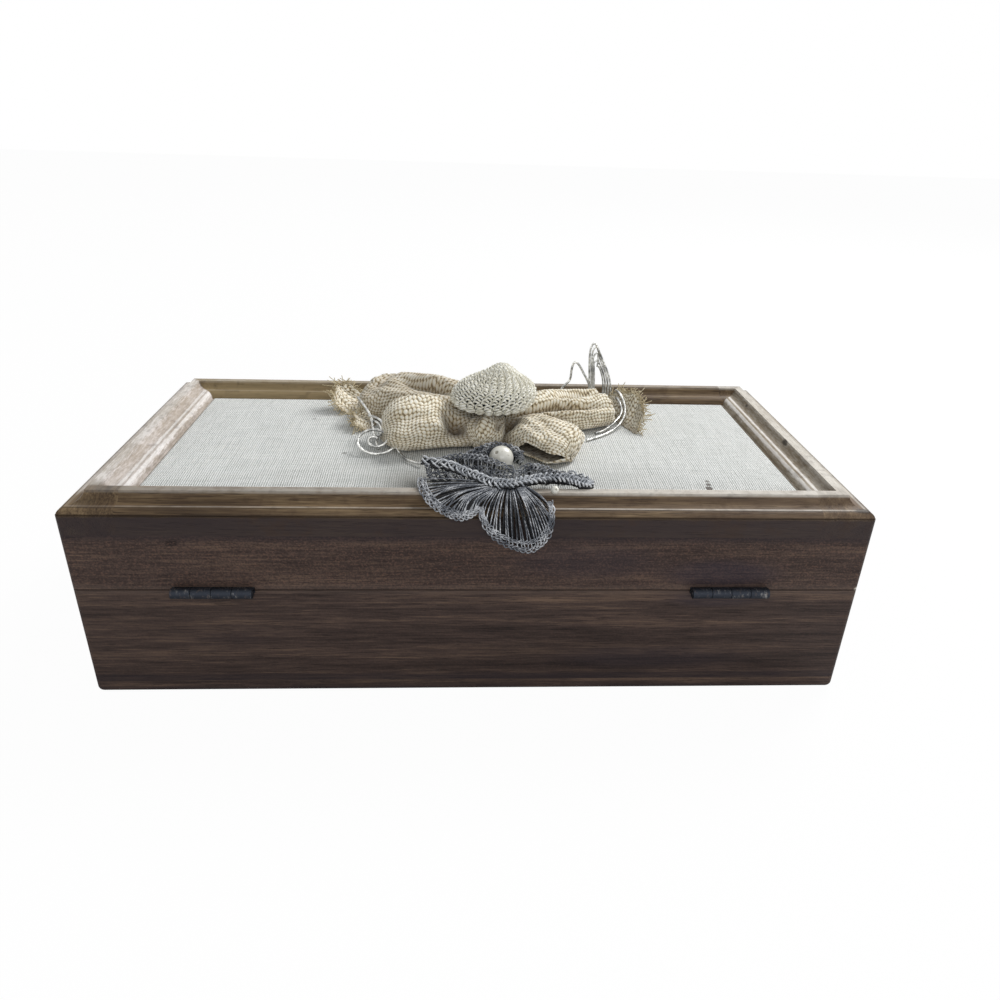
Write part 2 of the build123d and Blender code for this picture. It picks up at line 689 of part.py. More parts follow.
# Twisted rim that lies across both fans
rim_z = frame_top + crochet_thickness + rim_radius
rim_y = rail_flat_y + rim_radius
with BuildPart() as crochet_rim:
    with BuildLine() as rim_path:
        ThreePointArc((rim_x - rim_half_span, rim_y + rim_sweep, rim_z),
                      (rim_x, rim_y, rim_z),
                      (rim_x + rim_half_span, rim_y + rim_sweep, rim_z))
    rim_line = rim_path.wires()[0]
    with BuildSketch(Plane(rim_line @ 0, z_dir=rim_line % 0)):
        RegularPolygon(rim_radius, wire_sides)
    sweep(path=rim_line)
crochet_rim.part.label = "crochet_rim"
export_step(crochet_rim.part, "parts/crochet_rim.step")

# Curled crochet lobes on the linen, left and right of the pearl
for side, lobe_x in (("left", left_lobe_x), ("right", right_lobe_x)):
    with BuildPart() as lobe:
        for share, swell in ((-0.5, 0.4), (-0.25, 0.9), (0.1, 1.0), (0.35, 0.85), (0.5, 0.45)):
            half_width = lobe_width * swell / 2
            crest = lobe_height * swell
            place = (lobe_x + lobe_length * share, lobe_y, linen_top)
            with BuildSketch(Plane(place, x_dir=(0, 1, 0), z_dir=(1, 0, 0))):
                with BuildLine():
                    Polyline((half_width, crest / 2), (half_width, 0),
                             (-half_width, 0), (-half_width, crest / 2))
                    ThreePointArc((-half_width, crest / 2), (0, crest), (half_width, crest / 2))
                make_face()
        loft(ruled=True)
    lobe.part.label = f"crochet_{side}_lobe"
    export_step(lobe.part, f"parts/crochet_{side}_lobe.step")

# Beads, each with a small flat where it is glued down
with BuildPart() as pearl_bead:
    with Locations((pearl_x, panel_edge_y + pearl_inset, linen_top + pearl_radius - bead_seat)):
        Sphere(pearl_radius)
    split(bisect_by=Plane.XY.offset(linen_top))
pearl_bead.part.label = "pearl_bead"
export_step(pearl_bead.part, "parts/pearl_bead.step")

with BuildPart() as small_bead:
    small_bead_z = frame_top + small_bead_radius - bead_seat
    with Locations((small_bead_x, rail_flat_y + top_flat_width / 2, small_bead_z)):
        Sphere(small_bead_radius)
    split(bisect_by=Plane.XY.offset(frame_top))
small_bead.part.label = "small_bead"
export_step(small_bead.part, "parts/small_bead.step")
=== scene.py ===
import math

import bpy
import numpy as np
from mathutils import Matrix, Vector


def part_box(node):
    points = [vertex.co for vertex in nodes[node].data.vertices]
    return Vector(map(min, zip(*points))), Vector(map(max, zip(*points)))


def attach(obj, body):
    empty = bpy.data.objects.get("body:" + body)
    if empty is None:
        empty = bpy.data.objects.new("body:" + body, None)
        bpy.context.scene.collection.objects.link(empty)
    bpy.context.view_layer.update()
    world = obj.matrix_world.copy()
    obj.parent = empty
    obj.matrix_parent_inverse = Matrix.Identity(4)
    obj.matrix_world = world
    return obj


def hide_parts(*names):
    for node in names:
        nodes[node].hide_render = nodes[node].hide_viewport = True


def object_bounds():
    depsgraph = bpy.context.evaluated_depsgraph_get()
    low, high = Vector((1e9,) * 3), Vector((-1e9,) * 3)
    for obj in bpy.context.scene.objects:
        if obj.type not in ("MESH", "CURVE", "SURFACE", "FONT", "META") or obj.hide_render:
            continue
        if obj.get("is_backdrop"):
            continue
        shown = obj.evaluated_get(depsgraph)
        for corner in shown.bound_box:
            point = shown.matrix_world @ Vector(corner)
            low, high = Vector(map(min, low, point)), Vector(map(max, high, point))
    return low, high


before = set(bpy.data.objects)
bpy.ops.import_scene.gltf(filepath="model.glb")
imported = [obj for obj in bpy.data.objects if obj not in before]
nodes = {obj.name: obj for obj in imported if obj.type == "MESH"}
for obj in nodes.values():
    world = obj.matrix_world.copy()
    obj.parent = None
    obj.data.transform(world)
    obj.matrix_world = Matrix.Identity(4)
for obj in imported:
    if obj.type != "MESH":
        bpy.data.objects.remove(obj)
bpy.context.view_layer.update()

scene = bpy.context.scene
scene.view_settings.view_transform = "Standard"

# Camera. The photograph looks down on the hinged back from 18 cm above the table, a little from the
# left. It was fitted to the corners of the lid and the base.
camera_yaw = math.radians(-3.48626)
camera_pitch = math.radians(26.54966)
camera_roll = math.radians(1.92645)
level_right = Vector((math.cos(camera_yaw), math.sin(camera_yaw), 0))
level_ahead = Vector((-math.sin(camera_yaw), math.cos(camera_yaw), 0))
sight = level_ahead * math.cos(camera_pitch) - Vector((0, 0, 1)) * math.sin(camera_pitch)
crown = level_ahead * math.sin(camera_pitch) + Vector((0, 0, 1)) * math.cos(camera_pitch)
frame_right = level_right * math.cos(camera_roll) + crown * math.sin(camera_roll)
frame_up = crown * math.cos(camera_roll) - level_right * math.sin(camera_roll)
camera_data = bpy.data.cameras.new("camera")
camera_data.lens = 27.93
camera_data.sensor_width = 36
camera = bpy.data.objects.new("camera", camera_data)
scene.collection.objects.link(camera)
turn = Matrix((frame_right, frame_up, -sight)).transposed().to_4x4()
camera_place = (-0.005986, -0.273323, 0.179464)
camera.matrix_world = Matrix.Translation(camera_place) @ turn
scene.camera = camera

# Daylight from above on the right, beyond the box, a weaker lamp in front, and a pale even surround.
# The surround is white for the camera, in gloss and through glass.
for lamp_name, place, size, watts in (("window", (0.74, 0.62, 0.99), 0.6, 16.0),
                                      ("front_fill", (0.1, -1.1, 0.55), 0.8, 4.6)):
    lamp_data = bpy.data.lights.new(lamp_name, "AREA")
    lamp_data.size = size
    lamp_data.energy = watts
    lamp = bpy.data.objects.new(lamp_name, lamp_data)
    scene.collection.objects.link(lamp)
    lamp.location = place
    lamp.rotation_euler = (Vector((0, 0, 0.04)) - Vector(place)).to_track_quat("-Z", "Y").to_euler()
world = bpy.data.worlds.new("surround")
scene.world = world
world.use_nodes = True
sky = world.node_tree
sky_light = sky.nodes["Background"]
sky_light.inputs["Color"].default_value = (0.93, 0.97, 1.0, 1)
sky_light.inputs["Strength"].default_value = 0.36
sky_white = sky.nodes.new("ShaderNodeBackground")
sky_white.inputs["Strength"].default_value = 1.0
sky_white.inputs["Color"].default_value = (1, 1, 1, 1)
either = sky.nodes.new("ShaderNodeMixShader")
sky.links.new(sky_light.outputs[0], either.inputs[1])
sky.links.new(sky_white.outputs[0], either.inputs[2])
sky.links.new(either.outputs[0], sky.nodes["World Output"].inputs["Surface"])
ray = sky.nodes.new("ShaderNodeLightPath")
ray_share = ray.outputs["Is Camera Ray"]
for ray_kind in ("Is Glossy Ray", "Is Transmission Ray"):
    highest = sky.nodes.new("ShaderNodeMath")
    highest.operation = "MAXIMUM"
    sky.links.new(ray_share, highest.inputs[0])
    sky.links.new(ray.outputs[ray_kind], highest.inputs[1])
    ray_share = highest.outputs[0]
sky.links.new(ray_share, either.inputs[0])


# Floor: a plain pale sheet under the box that takes its shadow and is almost white to the camera.
class Tone:
    """One number, colour or vector in a finish. Arithmetic on it adds Math nodes to that finish."""

    def __init__(self, finish, socket):
        self.finish = finish
        self.socket = socket

    def math(self, operation, other=0.0):
        """The Math node's operation on this number and another."""
        return self.finish.math(operation, self, other)

    def axis(self, number):
        """The x, y or z of a place, for 0, 1 or 2."""
        return self.finish.node("ShaderNodeSeparateXYZ", {}, {0: self}, number)

    def __add__(self, other):
        return self.math("ADD", other)

    def __sub__(self, other):
        return self.math("SUBTRACT", other)

    def __rsub__(self, other):
        return self.finish.math("SUBTRACT", other, self)

    def __mul__(self, other):
        return self.math("MULTIPLY", other)

    def __pow__(self, other):
        return self.math("POWER", other)

    def __abs__(self):
        return self.math("ABSOLUTE")

    __radd__ = __add__
    __rmul__ = __mul__


class Finish:
    """A material of a named finish, with its constant values. Its place is the point's place on the
    object in metres, and node() adds any shader node to it."""

    def __init__(self, name, **constants):
        self.material = bpy.data.materials.new(name)
        self.material.use_nodes = True
        self.tree = self.material.node_tree
        self.surface = self.tree.nodes["Principled BSDF"]
        self.place = self.node("ShaderNodeTexCoord", output="Object")
        for key, value in constants.items():
            self.surface.inputs[key.replace("_", " ")].default_value = value

    def node(self, kind, settings=None, inputs=None, output=0):
        """Adds a node, gives it its settings, then its inputs' values or links, and returns an output."""
        added = self.tree.nodes.new(kind)
        for key, value in (settings or {}).items():
            setattr(added, key, value)
        for key, value in (inputs or {}).items():
            if isinstance(value, Tone):
                self.tree.links.new(value.socket, added.inputs[key])
            else:
                added.inputs[key].default_value = value
        return Tone(self, added.outputs[output])

    def math(self, operation, first, second=0.0):
        """The Math node's operation on two numbers."""
        return self.node("ShaderNodeMath", {"operation": operation}, {0: first, 1: second})

    def ease(self, value, low, high):
        """A smooth step: 0 where the value is low or less, 1 where it is high or more."""
        return self.node("ShaderNodeMapRange", {"interpolation_type": "SMOOTHSTEP"},
                         {0: value, 1: low, 2: high, 3: 0.0, 4: 1.0})

    def band(self, value, foot, top, edge, end):
        """1 where the value is between top and edge, easing to 0 at foot and at end."""
        return self.ease(value, foot, top) - self.ease(value, edge, end)

    def spot(self, x, y, middle_x, middle_y, half_x, half_y):
        """The bell exp(-u^2 - v^2), with u and v the ways from its middle in half widths, all in mm."""
        away_x = (x - middle_x / 1000) * (1000 / half_x)
        away_y = (y - middle_y / 1000) * (1000 / half_y)
        return ((away_x * away_x + away_y * away_y) * -1.0).math("EXPONENT")

    def blend(self, share, first, second):
        """The first colour where the share is 0, the second where it is 1."""
        return self.node("ShaderNodeMix", {"data_type": "RGBA"}, {0: share, 6: first, 7: second}, 2)

    def ramp(self, value, *stops):
        """The colour that a value has between stops, each a number and its colour."""
        shown = self.node("ShaderNodeValToRGB", {}, {0: value})
        marks = shown.socket.node.color_ramp.elements
        while len(marks) < len(stops):
            marks.new(1.0)
        for mark, (position, colour) in zip(marks, stops):
            mark.position = position
            mark.color = colour
        return shown

    def noise(self, scale, detail=3.0, roughness=0.5, place=None):
        """Noise from 0 to 1 whose spots are 1 / scale metres wide, the same or its own along each axis."""
        mapped = self.node("ShaderNodeMapping", {}, {
            "Vector": place or self.place, "Scale": scale if isinstance(scale, tuple) else (scale,) * 3})
        return self.node("ShaderNodeTexNoise", {},
                         {"Vector": mapped, "Scale": 1.0, "Detail": detail, "Roughness": roughness})

    def wear(self, relief, **inputs):
        """Links what changes over the surface to the shader, and bumps in metres to its Normal."""
        inputs["Normal"] = self.node("ShaderNodeBump", {}, {"Distance": 1.0, "Height": relief})
        for key, value in inputs.items():
            self.tree.links.new(value.socket, self.surface.inputs[key.replace("_", " ")])
        return self.material


def mesh_piece(name, points, faces, places=None, smooth=True):
    """Object with a mesh of points in millimetres. places gives each face's corners their UV."""
    mesh = bpy.data.meshes.new(name)
    mesh.from_pydata((np.asarray(points, float).reshape(-1, 3) / 1000).tolist(), [], faces)
    if places is not None:
        mesh.uv_layers.new(name="UVMap").data.foreach_set("uv", np.asarray(places, np.float32).ravel())
    mesh.polygons.foreach_set("use_smooth", np.full(len(mesh.polygons), smooth))
    mesh.update()
    piece = bpy.data.objects.new(name, mesh)
    scene.collection.objects.link(piece)
    return piece


floor = mesh_piece("floor", [(-3000, -3000, 0), (3000, -3000, 0), (3000, 3000, 0), (-3000, 3000, 0)],
                   [(0, 1, 2, 3)], smooth=False)
floor_finish = Finish("pale_floor", Roughness=0.9)
floor_finish.surface.inputs["Base Color"].default_value = (0.9, 0.9, 0.9, 1)
white_light = floor_finish.node("ShaderNodeEmission", {}, {"Color": (1, 1, 1, 1), "Strength": 1.0})
camera_ray = floor_finish.node("ShaderNodeLightPath")
floor_seen = floor_finish.node("ShaderNodeMixShader", {}, {
    0: camera_ray * 0.97, 1: Tone(floor_finish, floor_finish.surface.outputs[0]), 2: white_light})
floor_finish.tree.links.new(floor_seen.socket, floor_finish.tree.nodes["Material Output"].inputs[0])
floor.data.materials.append(floor_finish.material)
floor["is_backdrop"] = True


# Case boards: bottom, walls and the lid's board, sawn from dark reddish hardwood, oiled, and glued
# with butt joints. The side walls run through, and on their ends the grain of the long walls runs on.
def paint(red, green, blue):
    """Screen colour from 0 to 255 as the linear colour that the shader takes."""
    shares = [value / 255 for value in (red, green, blue)]
    return (*[s / 12.92 if s <= 0.04045 else ((s + 0.055) / 1.055) ** 2.4 for s in shares], 1.0)


def cover(names, material):
    """Gives the frame's nodes of these names one material."""
    for name in names:
        nodes[name].data.materials.clear()
        nodes[name].data.materials.append(material)


def board_finish(name, along, offset, deep, body, pale, knots=(), swirl=0.5, line=1.0, ends=None):
    """Sawn and oiled wood whose grain runs along an axis. Long noise makes the streaks. A sine of the
    height plus broad noise, whose phase rises as a bell curve at each knot, makes the figure. Short
    dark dashes are the pores. Knots are (along, height, half length, half height, strength) in mm, and
    ends is the offset of the grain that runs on over the board's ends."""
    finish = Finish(name, Specular_IOR_Level=0.14)
    grain = finish.node("ShaderNodeMapping", {}, {
        "Vector": finish.place, "Location": [value / 1000 for value in offset],
        "Rotation": (0, 0, math.pi / 2 if along == "y" else 0)})
    if ends:
        across_joint = finish.node("ShaderNodeMapping", {}, {
            "Vector": finish.place, "Location": [value / 1000 for value in ends]})
        facing = finish.ease(abs(finish.node("ShaderNodeNewGeometry", output="Normal").axis(1)), 0.6, 0.8)
        grain = finish.node("ShaderNodeMix", {"data_type": "VECTOR"},
                            {0: facing, 4: grain, 5: across_joint}, 1)
    streaks = finish.noise((9, 170, 170), 6.0, 0.62, grain)
    fibres = finish.noise((60, 1600, 1600), 3.0, 0.7, grain)
    broad = finish.noise((9, 26, 26), 3.0, 0.55, grain)
    blotches = finish.noise((28, 60, 60), 4.0, 0.6, grain)
    height = finish.place.axis(2)
    phase = height * 520 + grain.axis(1) * 420 + broad * (40 * swirl) + streaks * 9.0
    hearts = 0.0
    for *knot, strength in knots:
        bell = finish.spot(finish.place.axis(0), height, *knot)
        phase = phase + bell * (9 * strength)
        hearts = bell ** 5.0 * strength + hearts
    rings = phase.math("SINE") * 0.5 + 0.5
    shade = (streaks - 0.5) * (0.5 * line) + (rings - 0.5) * (0.08 * line) + (
        blotches - 0.5) * (0.5 * swirl) + (fibres - 0.5) * 0.6 + 0.5 - 0.4 * hearts
    colour = finish.ramp(shade, (0.30, deep), (0.50, body), (0.72, pale))
    pores = finish.ease(finish.noise((130, 2300, 2300), 1.0, 0.5, grain), 0.60, 0.70)
    stain = finish.ease(finish.noise((12, 60, 60), 2.0, 0.5, grain), 0.5, 0.68)
    colour = finish.blend(stain * 0.3, colour, deep)
    colour = finish.blend(pores * 0.55, colour, deep)
    return finish, colour, shade, pores


def oiled(finish, colour, shade, pores, rough, depth=1.0):
    """Links the wood's colour, gloss and relief: pores and fibres stand a few hundredths of a mm deep."""
    relief = shade * (0.00016 * depth) - pores * (0.00008 * depth)
    return finish.wear(relief, Base_Color=colour, Roughness=rough + shade * 0.25)


walnut = (paint(36, 28, 26), paint(68, 55, 50), paint(108, 88, 74))
lid_grain = (210, 30, 90)
for name, along, offset, knots, swirl in (
        ("bottom_board", "x", (31, 7, 3), (), 0.25),
        ("base_back_wall", "x", (0, 0, 0), (), 0.12),
        ("base_front_wall", "x", (90, 40, 60), ((35, 20, 40, 9, 0.8),), 0.2),
        ("base_left_wall", "y", (20, 80, 15), (), 0.12),
        ("base_right_wall", "y", (65, 130, 35), (), 0.12),
        ("lid_back_wall", "x", lid_grain, ((-93.6, 58.2, 2.6, 1.3, 3.2),), 0.35),
        ("lid_front_wall", "x", (150, 70, 20), ((-40, 52, 22, 6, 0.9), (70, 49, 18, 6, 0.8)), 0.5),
        ("lid_left_wall", "y", (40, 15, 70), (), 0.35),
        ("lid_right_wall", "y", (75, 55, 10), (), 0.35)):
    on_lid = name.startswith("lid")
    ends = None if along == "x" else lid_grain if on_lid else (0.001, 0, 0)
    finish, colour, shade, pores = board_finish(
        f"oiled_{name}", along, offset, *walnut, knots, swirl, 0.45 if on_lid else 1.0, ends)
    rightward = finish.place.axis(0)
    height = finish.place.axis(2)
    # The colour darkens along the top of the lid walls, along the foot of the base and on the bottom board's
    # lower edge.
    if on_lid:
        edge_darkening = finish.ease(height + shade * 0.003, 0.0592, 0.0622)
        rubbed = 1.0 - finish.ease(height - shade * 0.003, 0.0408, 0.0422)
    elif name.startswith("base"):
        edge_darkening = 1.0 - finish.ease(height + shade * 0.002, 0.0075, 0.0095)
        rubbed = finish.ease(height + shade * 0.003, 0.0405, 0.0418)
    else:
        edge_darkening = 1.0 - finish.ease(height, 0.0, 0.004)
        rubbed = finish.ease(height, 0.0042, 0.006)
    speckle = finish.noise((1500, 1500, 1700), 3.0, 0.7)
    speckled = 0.6 if on_lid else 0.15
    colour = finish.blend(finish.ease(speckle, 0.5, 0.66) * (speckled * 0.8), colour, paint(108, 80, 68))
    colour = finish.blend((1.0 - finish.ease(speckle, 0.36, 0.5)) * speckled, colour, paint(48, 34, 32))
    # Dark bluish patches and a chip at the seam: middle, half widths, colour and strength
    for *patch, tint, strength in (
            (80, 47.5, 20, 5.5, (42, 38, 50), 0.5), (79, 38, 17, 3.6, (44, 40, 50), 0.45),
            (35, 52, 26, 7, (50, 44, 52), 0.3), (-80, 24, 20, 5, (46, 38, 40), 0.3),
            (60, 14, 34, 5, (48, 42, 48), 0.35), (126.6, 41.6, 1.2, 0.7, (214, 208, 196), 0.9)):
        inside_patch = finish.spot(rightward, height, *patch) + (speckle - 0.5) * 0.35
        colour = finish.blend(finish.ease(inside_patch, 0.15, 0.8) * strength, colour, paint(*tint))
    colour = finish.blend(edge_darkening * 0.6, colour, paint(36, 31, 36))
    colour = finish.blend(rubbed * 0.25, colour, paint(96, 82, 74))
    cover([name], oiled(finish, colour, shade, pores, 0.42))

# Frame rails: brown hardwood, glued up square and routed with a bead, a ledge and a cove on each side
# of a flat top. The oil has worn off the arrises and the flat, which are dry and pale. The side rails
# are painted pale all over as the window's reflection on their faces, with real grain flecks, painted
# shade in their coves and painted highlights on the inner arris and the bead. The quirks of all rails
# are painted dark as shade.
light_wood = (paint(52, 40, 30), paint(98, 80, 60), paint(142, 121, 92))
rail_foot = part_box("back_rail")[0].z
frame_corner = (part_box("right_rail")[1].x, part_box("front_rail")[1].y)
for name, along, offset, sheen_colours, worn, left_share in (
        ("back_rail", "x", (15, 5, 40), (), 0.9, 0.35),
        ("front_rail", "x", (80, 60, 12), (), 0.3, 1.0),
        ("left_rail", "y", (33, 90, 52), (paint(176, 164, 152), paint(242, 235, 232)), 0.5, 1.0),
        ("right_rail", "y", (60, 20, 77), (paint(136, 122, 102), paint(206, 200, 190)), 0.7, 1.0)):
    finish, colour, shade, pores = board_finish(f"worn_{name}", along, offset, *light_wood, (), 0.45)
    rightward = finish.place.axis(0)
    depth = finish.place.axis(1)
    level = (finish.place.axis(2) - rail_foot) * 1000
    side_edge = (frame_corner[0] - abs(rightward)) * 1000
    long_edge = (frame_corner[1] - abs(depth)) * 1000
    inwards = side_edge.math("MINIMUM", long_edge)
    to_right = finish.ease(rightward, -0.13, 0.12)
    patches = finish.noise(45, 4.0, 0.6)
    scuffs = finish.noise(260, 3.0, 0.6)
    dry = finish.ease(patches * 0.7 + scuffs * 0.5, 0.38, 0.72)
    moulded = finish.ease(level, 6.6, 7.0)
    outside = 1.0 - finish.ease(inwards, 3.0, 4.0)
    arris = finish.band(inwards, 2.4, 2.6, 3.2, 3.5)
    flat = finish.band(inwards, 6.9, 7.2, 10.1, 10.4)
    inner_arris = finish.band(inwards, 13.0, 13.2, 13.8, 14.3)
    # Painted shade in the outer quirk and in the quirk between the band and the moulding.
    groove_shade = finish.band(inwards, 1.6, 2.1, 2.3, 2.5) * 0.8 + (
        1.0 - finish.ease(abs(level - 6.5), 0.2, 0.6)) * outside
    band_side = (1.0 - finish.ease(level + scuffs * 0.6, 6.2, 7.0)) * outside
    far = finish.ease(depth, 0.0, 0.01)
    colour = finish.blend((1.0 - to_right) * 0.6 * far, colour, paint(160, 142, 106))
    near_right = finish.ease(rightward, 0.0, 0.12) * (1.0 - far)
    colour = finish.blend(near_right * 0.22, colour, paint(146, 126, 112))
    rubbed = (flat + arris * 0.7 + inner_arris * 0.5) * moulded * (dry * 0.6 + 0.4)
    # On the back rail the pale worn lines grow paler to the right: real wear, plus painted light from the
    # right.
    side_share = to_right * (1.0 - left_share) + left_share
    # Side rails: painted reflection of the window's light, pale over their tops and inner faces, with real
    # grain flecks, painted shade in the coves and painted highlights on the inner arris and the bead's top.
    if sheen_colours:
        across_mitre = finish.ease(long_edge - side_edge, -0.4, 0.4)
        sheen_area = (finish.ease(long_edge, 10.5, 16.0) * (1.0 - far) + across_mitre * far) * (
            1.0 - outside * (1.0 - moulded))
        flecks = finish.noise((1700, 260, 1700), 4.0, 0.7) * 0.6 + finish.noise((70, 30, 70)) * 0.4
        cove_shade = finish.band(inwards, 10.2, 10.6, 12.6, 13.0) + finish.band(
            inwards, 14.1, 14.3, 14.7, 15.1) + finish.ease(inwards, 16.3, 16.7) + (
            1.0 - finish.ease(inwards, 5.8, 6.8)) * 0.8
        bead_highlight = finish.band(inwards, 14.9, 15.2, 15.9, 16.3)
        painted_sheen = finish.blend(finish.ease(flecks, 0.40, 0.60), *sheen_colours)
        painted_sheen = finish.blend(cove_shade * 0.55, painted_sheen, sheen_colours[0])
        painted_sheen = finish.blend(inner_arris * 0.8 + bead_highlight * 0.6, painted_sheen, paint(244, 240, 236))
        colour = finish.blend((dry * 0.3 + 0.7) * sheen_area, colour, painted_sheen)
        corner = 1.0 - finish.ease(long_edge, 9.5, 11.5)
        side_share = side_share * (1.0 - corner) + (to_right * 0.65 + 0.35) * corner
    colour = finish.blend(rubbed * side_share * worn, colour, paint(226, 220, 210))
    # Nicks: middle, half widths and strength
    for *nick, strength in ((116.5, -8.5, 0.5, 2.4, 0.8), (116.2, 34, 0.4, 1.2, 0.7),
                            (122.8, -59.6, 3.0, 1.4, 0.75), (-119, -58, 4, 2.5, 0.35)):
        dent = finish.spot(rightward, depth, *nick) + (scuffs - 0.5) * 0.6
        colour = finish.blend(finish.ease(dent, 0.25, 0.7) * moulded * strength, colour, paint(44, 38, 32))
    # Painted shadow in the quirks.
    colour = finish.blend(groove_shade * 0.6, colour, paint(34, 26, 22))
    colour = finish.blend(band_side * 0.9, colour, paint(46, 38, 40))
    colour = finish.blend(finish.ease(scuffs + patches, 1.0, 1.3) * 0.35, colour, paint(60, 44, 34))
    cover([name], oiled(finish, colour, shade, pores, 0.40))

# Inside: plain paler hardwood for the halved dividers, the lid's board and the panel under the linen.
plain_wood = (paint(96, 72, 50), paint(134, 104, 74), paint(166, 136, 102))
for name, along, offset in (
        ("long_divider", "x", (12, 20, 30)), ("left_cross_divider", "y", (44, 31, 9)),
        ("right_cross_divider", "y", (71, 12, 55)), ("lid_board", "x", (5, 66, 21)),
        ("panel_board", "x", (28, 17, 90))):
    planed = board_finish(f"planed_{name}", along, offset, *plain_wood, (), 0.3)
    cover([name], oiled(*planed, 0.5, 0.6))

# Felt glued to the floor and under the lid: pressed wool, dark red, with short fibres every way.
felt = Finish("wine_felt", Roughness=0.95, Sheen_Weight=0.35, Sheen_Roughness=0.5)
felt_fibres = felt.noise(1400, 4.0, 0.7)
felt_colour = felt.blend(felt_fibres, paint(74, 20, 27), paint(128, 46, 52))
felt_colour = felt.blend(felt.noise(60, 3.0, 0.6) * 0.4, felt_colour, paint(70, 22, 28))
cover(("floor_lining", "lid_lining"), felt.wear(felt_fibres * 0.0003, Base_Color=felt_colour))

# Butt hinges of folded steel, darkened with age, with rubbed spots on the knuckles. Their pins are
# the same steel, and the countersunk screws are yellowed brass.
for finish_name, members, dull, bright, metal in (
        ("darkened_steel", ("left_hinge_base_leaf", "left_hinge_lid_leaf", "right_hinge_base_leaf",
                            "right_hinge_lid_leaf"), paint(46, 50, 58), paint(132, 130, 128), 0.85),
        ("pin_steel", ("left_hinge_pin", "right_hinge_pin"), paint(60, 62, 68), paint(170, 168, 165), 0.9),
        ("screw_brass", ("base_hinge_screws", "lid_hinge_screws"), paint(140, 112, 66),
         paint(206, 178, 120), 1.0)):
    steel = Finish(finish_name)
    scratches = steel.noise((2600, 500, 500), 3.0, 0.6)
    rubbed = steel.ease(steel.noise(420, 5.0, 0.65) * 0.7 + scratches * 0.4, 0.58, 0.78)
    rust = steel.ease(steel.noise(700, 4.0, 0.6), 0.56, 0.68)
    steel_colour = steel.blend(rust * 0.35, steel.blend(rubbed, dull, bright), paint(74, 52, 40))
    cover(members, steel.wear(scratches * 0.00006, Base_Color=steel_colour, Metallic=metal - rust * 0.6,
                              Roughness=0.52 - rubbed * 0.2 + scratches * 0.15))


# Linen: fine plain weave, 0.75 mm from thread to thread, stretched over a thin pad on the panel and
# tucked down beside the frame. It is flat in the middle, rounds off over 16 mm and rolls under at the
# edge.
def grid_faces(rows, columns, wrap_columns=False):
    """Corner numbers and corner grid places of a grid's quads. A wrap joins the last column to the first."""
    row, column = np.indices((rows - 1, columns if wrap_columns else columns - 1))
    rows_at = np.stack([row, row, row + 1, row + 1], -1).reshape(-1, 4)
    columns_at = np.stack([column, column + 1, column + 1, column], -1).reshape(-1, 4)
    return rows_at * columns + columns_at % columns, columns_at, rows_at


def dress(piece, node, material):
    """Gives a piece of the lid its material, sets it to ride on the lid, and hides the frame node that it
    stands for.
    """
    piece.data.materials.append(material)
    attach(piece, "lid")
    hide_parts(node)


linen_low, linen_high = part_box("linen_cover")
linen_half = np.array([linen_high.x, linen_high.y]) * 1000
linen_foot, linen_top = linen_low.z * 1000, linen_high.z * 1000
linen_rows, linen_columns = 121, 241
across, along = np.meshgrid(np.linspace(-1, 1, linen_columns), np.linspace(-1, 1, linen_rows))
# Closer lines near the edges, where the cloth rolls down
across = np.sin(across * math.pi / 2) * 0.35 + across * 0.65
along = np.sin(along * math.pi / 2) * 0.35 + along * 0.65
inside = np.minimum(linen_half[0] * (1 - abs(across)), linen_half[1] * (1 - abs(along)))
crown_width, crown_rise, roll_width, roll_rise = 16, 1.1, 0.6, 0.88
crowned = crown_rise * (1 - np.clip(1 - inside / crown_width, 0, 1) ** 2) ** 0.9
rolled = roll_rise * np.sqrt(1 - np.clip(1 - inside / roll_width, 0, 1) ** 2)
waves = 0.1 * np.sin(across * 9 + along * 4) * np.sin(along * 7 - across * 5) * np.clip(inside / 12, 0, 1)
linen_points = np.stack([across * linen_half[0], along * linen_half[1],
                         linen_foot + 0.02 + crowned + rolled + np.minimum(waves, 0)], -1)
linen = mesh_piece("linen_cloth", linen_points, grid_faces(linen_rows, linen_columns)[0].tolist())
cloth = Finish("fine_linen", Roughness=0.9, Sheen_Weight=0.15, Sheen_Roughness=0.5)
slack = cloth.noise(120, 2.0) * 0.0006
cloth_x = cloth.place.axis(0) + slack
cloth_y = cloth.place.axis(1) + slack
linen_pitch = 0.00075
half_turns = math.pi / linen_pitch
warp_wave = (cloth_x * half_turns).math("SINE")
weft_wave = (cloth_y * half_turns).math("SINE")
warp_over = cloth.ease(warp_wave * weft_wave, -0.25, 0.25)
weave = abs(warp_wave) * warp_over + abs(weft_wave) * (1.0 - warp_over)
slubs = cloth.noise((1300, 60, 1), 3.0, 0.6) * warp_over + cloth.noise(
    (60, 1300, 1), 3.0, 0.6) * (1.0 - warp_over)
# Painted shade between the threads, where the weave dips, mixed with the slubs' own tone.
linen_colour = cloth.blend(cloth.ease(weave * 0.7 + slubs * 0.8, 0.52, 1.0), paint(118, 122, 110),
                           paint(255, 255, 253))
linen_colour = cloth.blend(cloth.ease(slubs, 0.55, 0.8) * 0.4, linen_colour, paint(196, 182, 152))
linen_colour = cloth.blend(cloth.noise(22, 3.0, 0.6) * 0.2, linen_colour, paint(222, 228, 224))
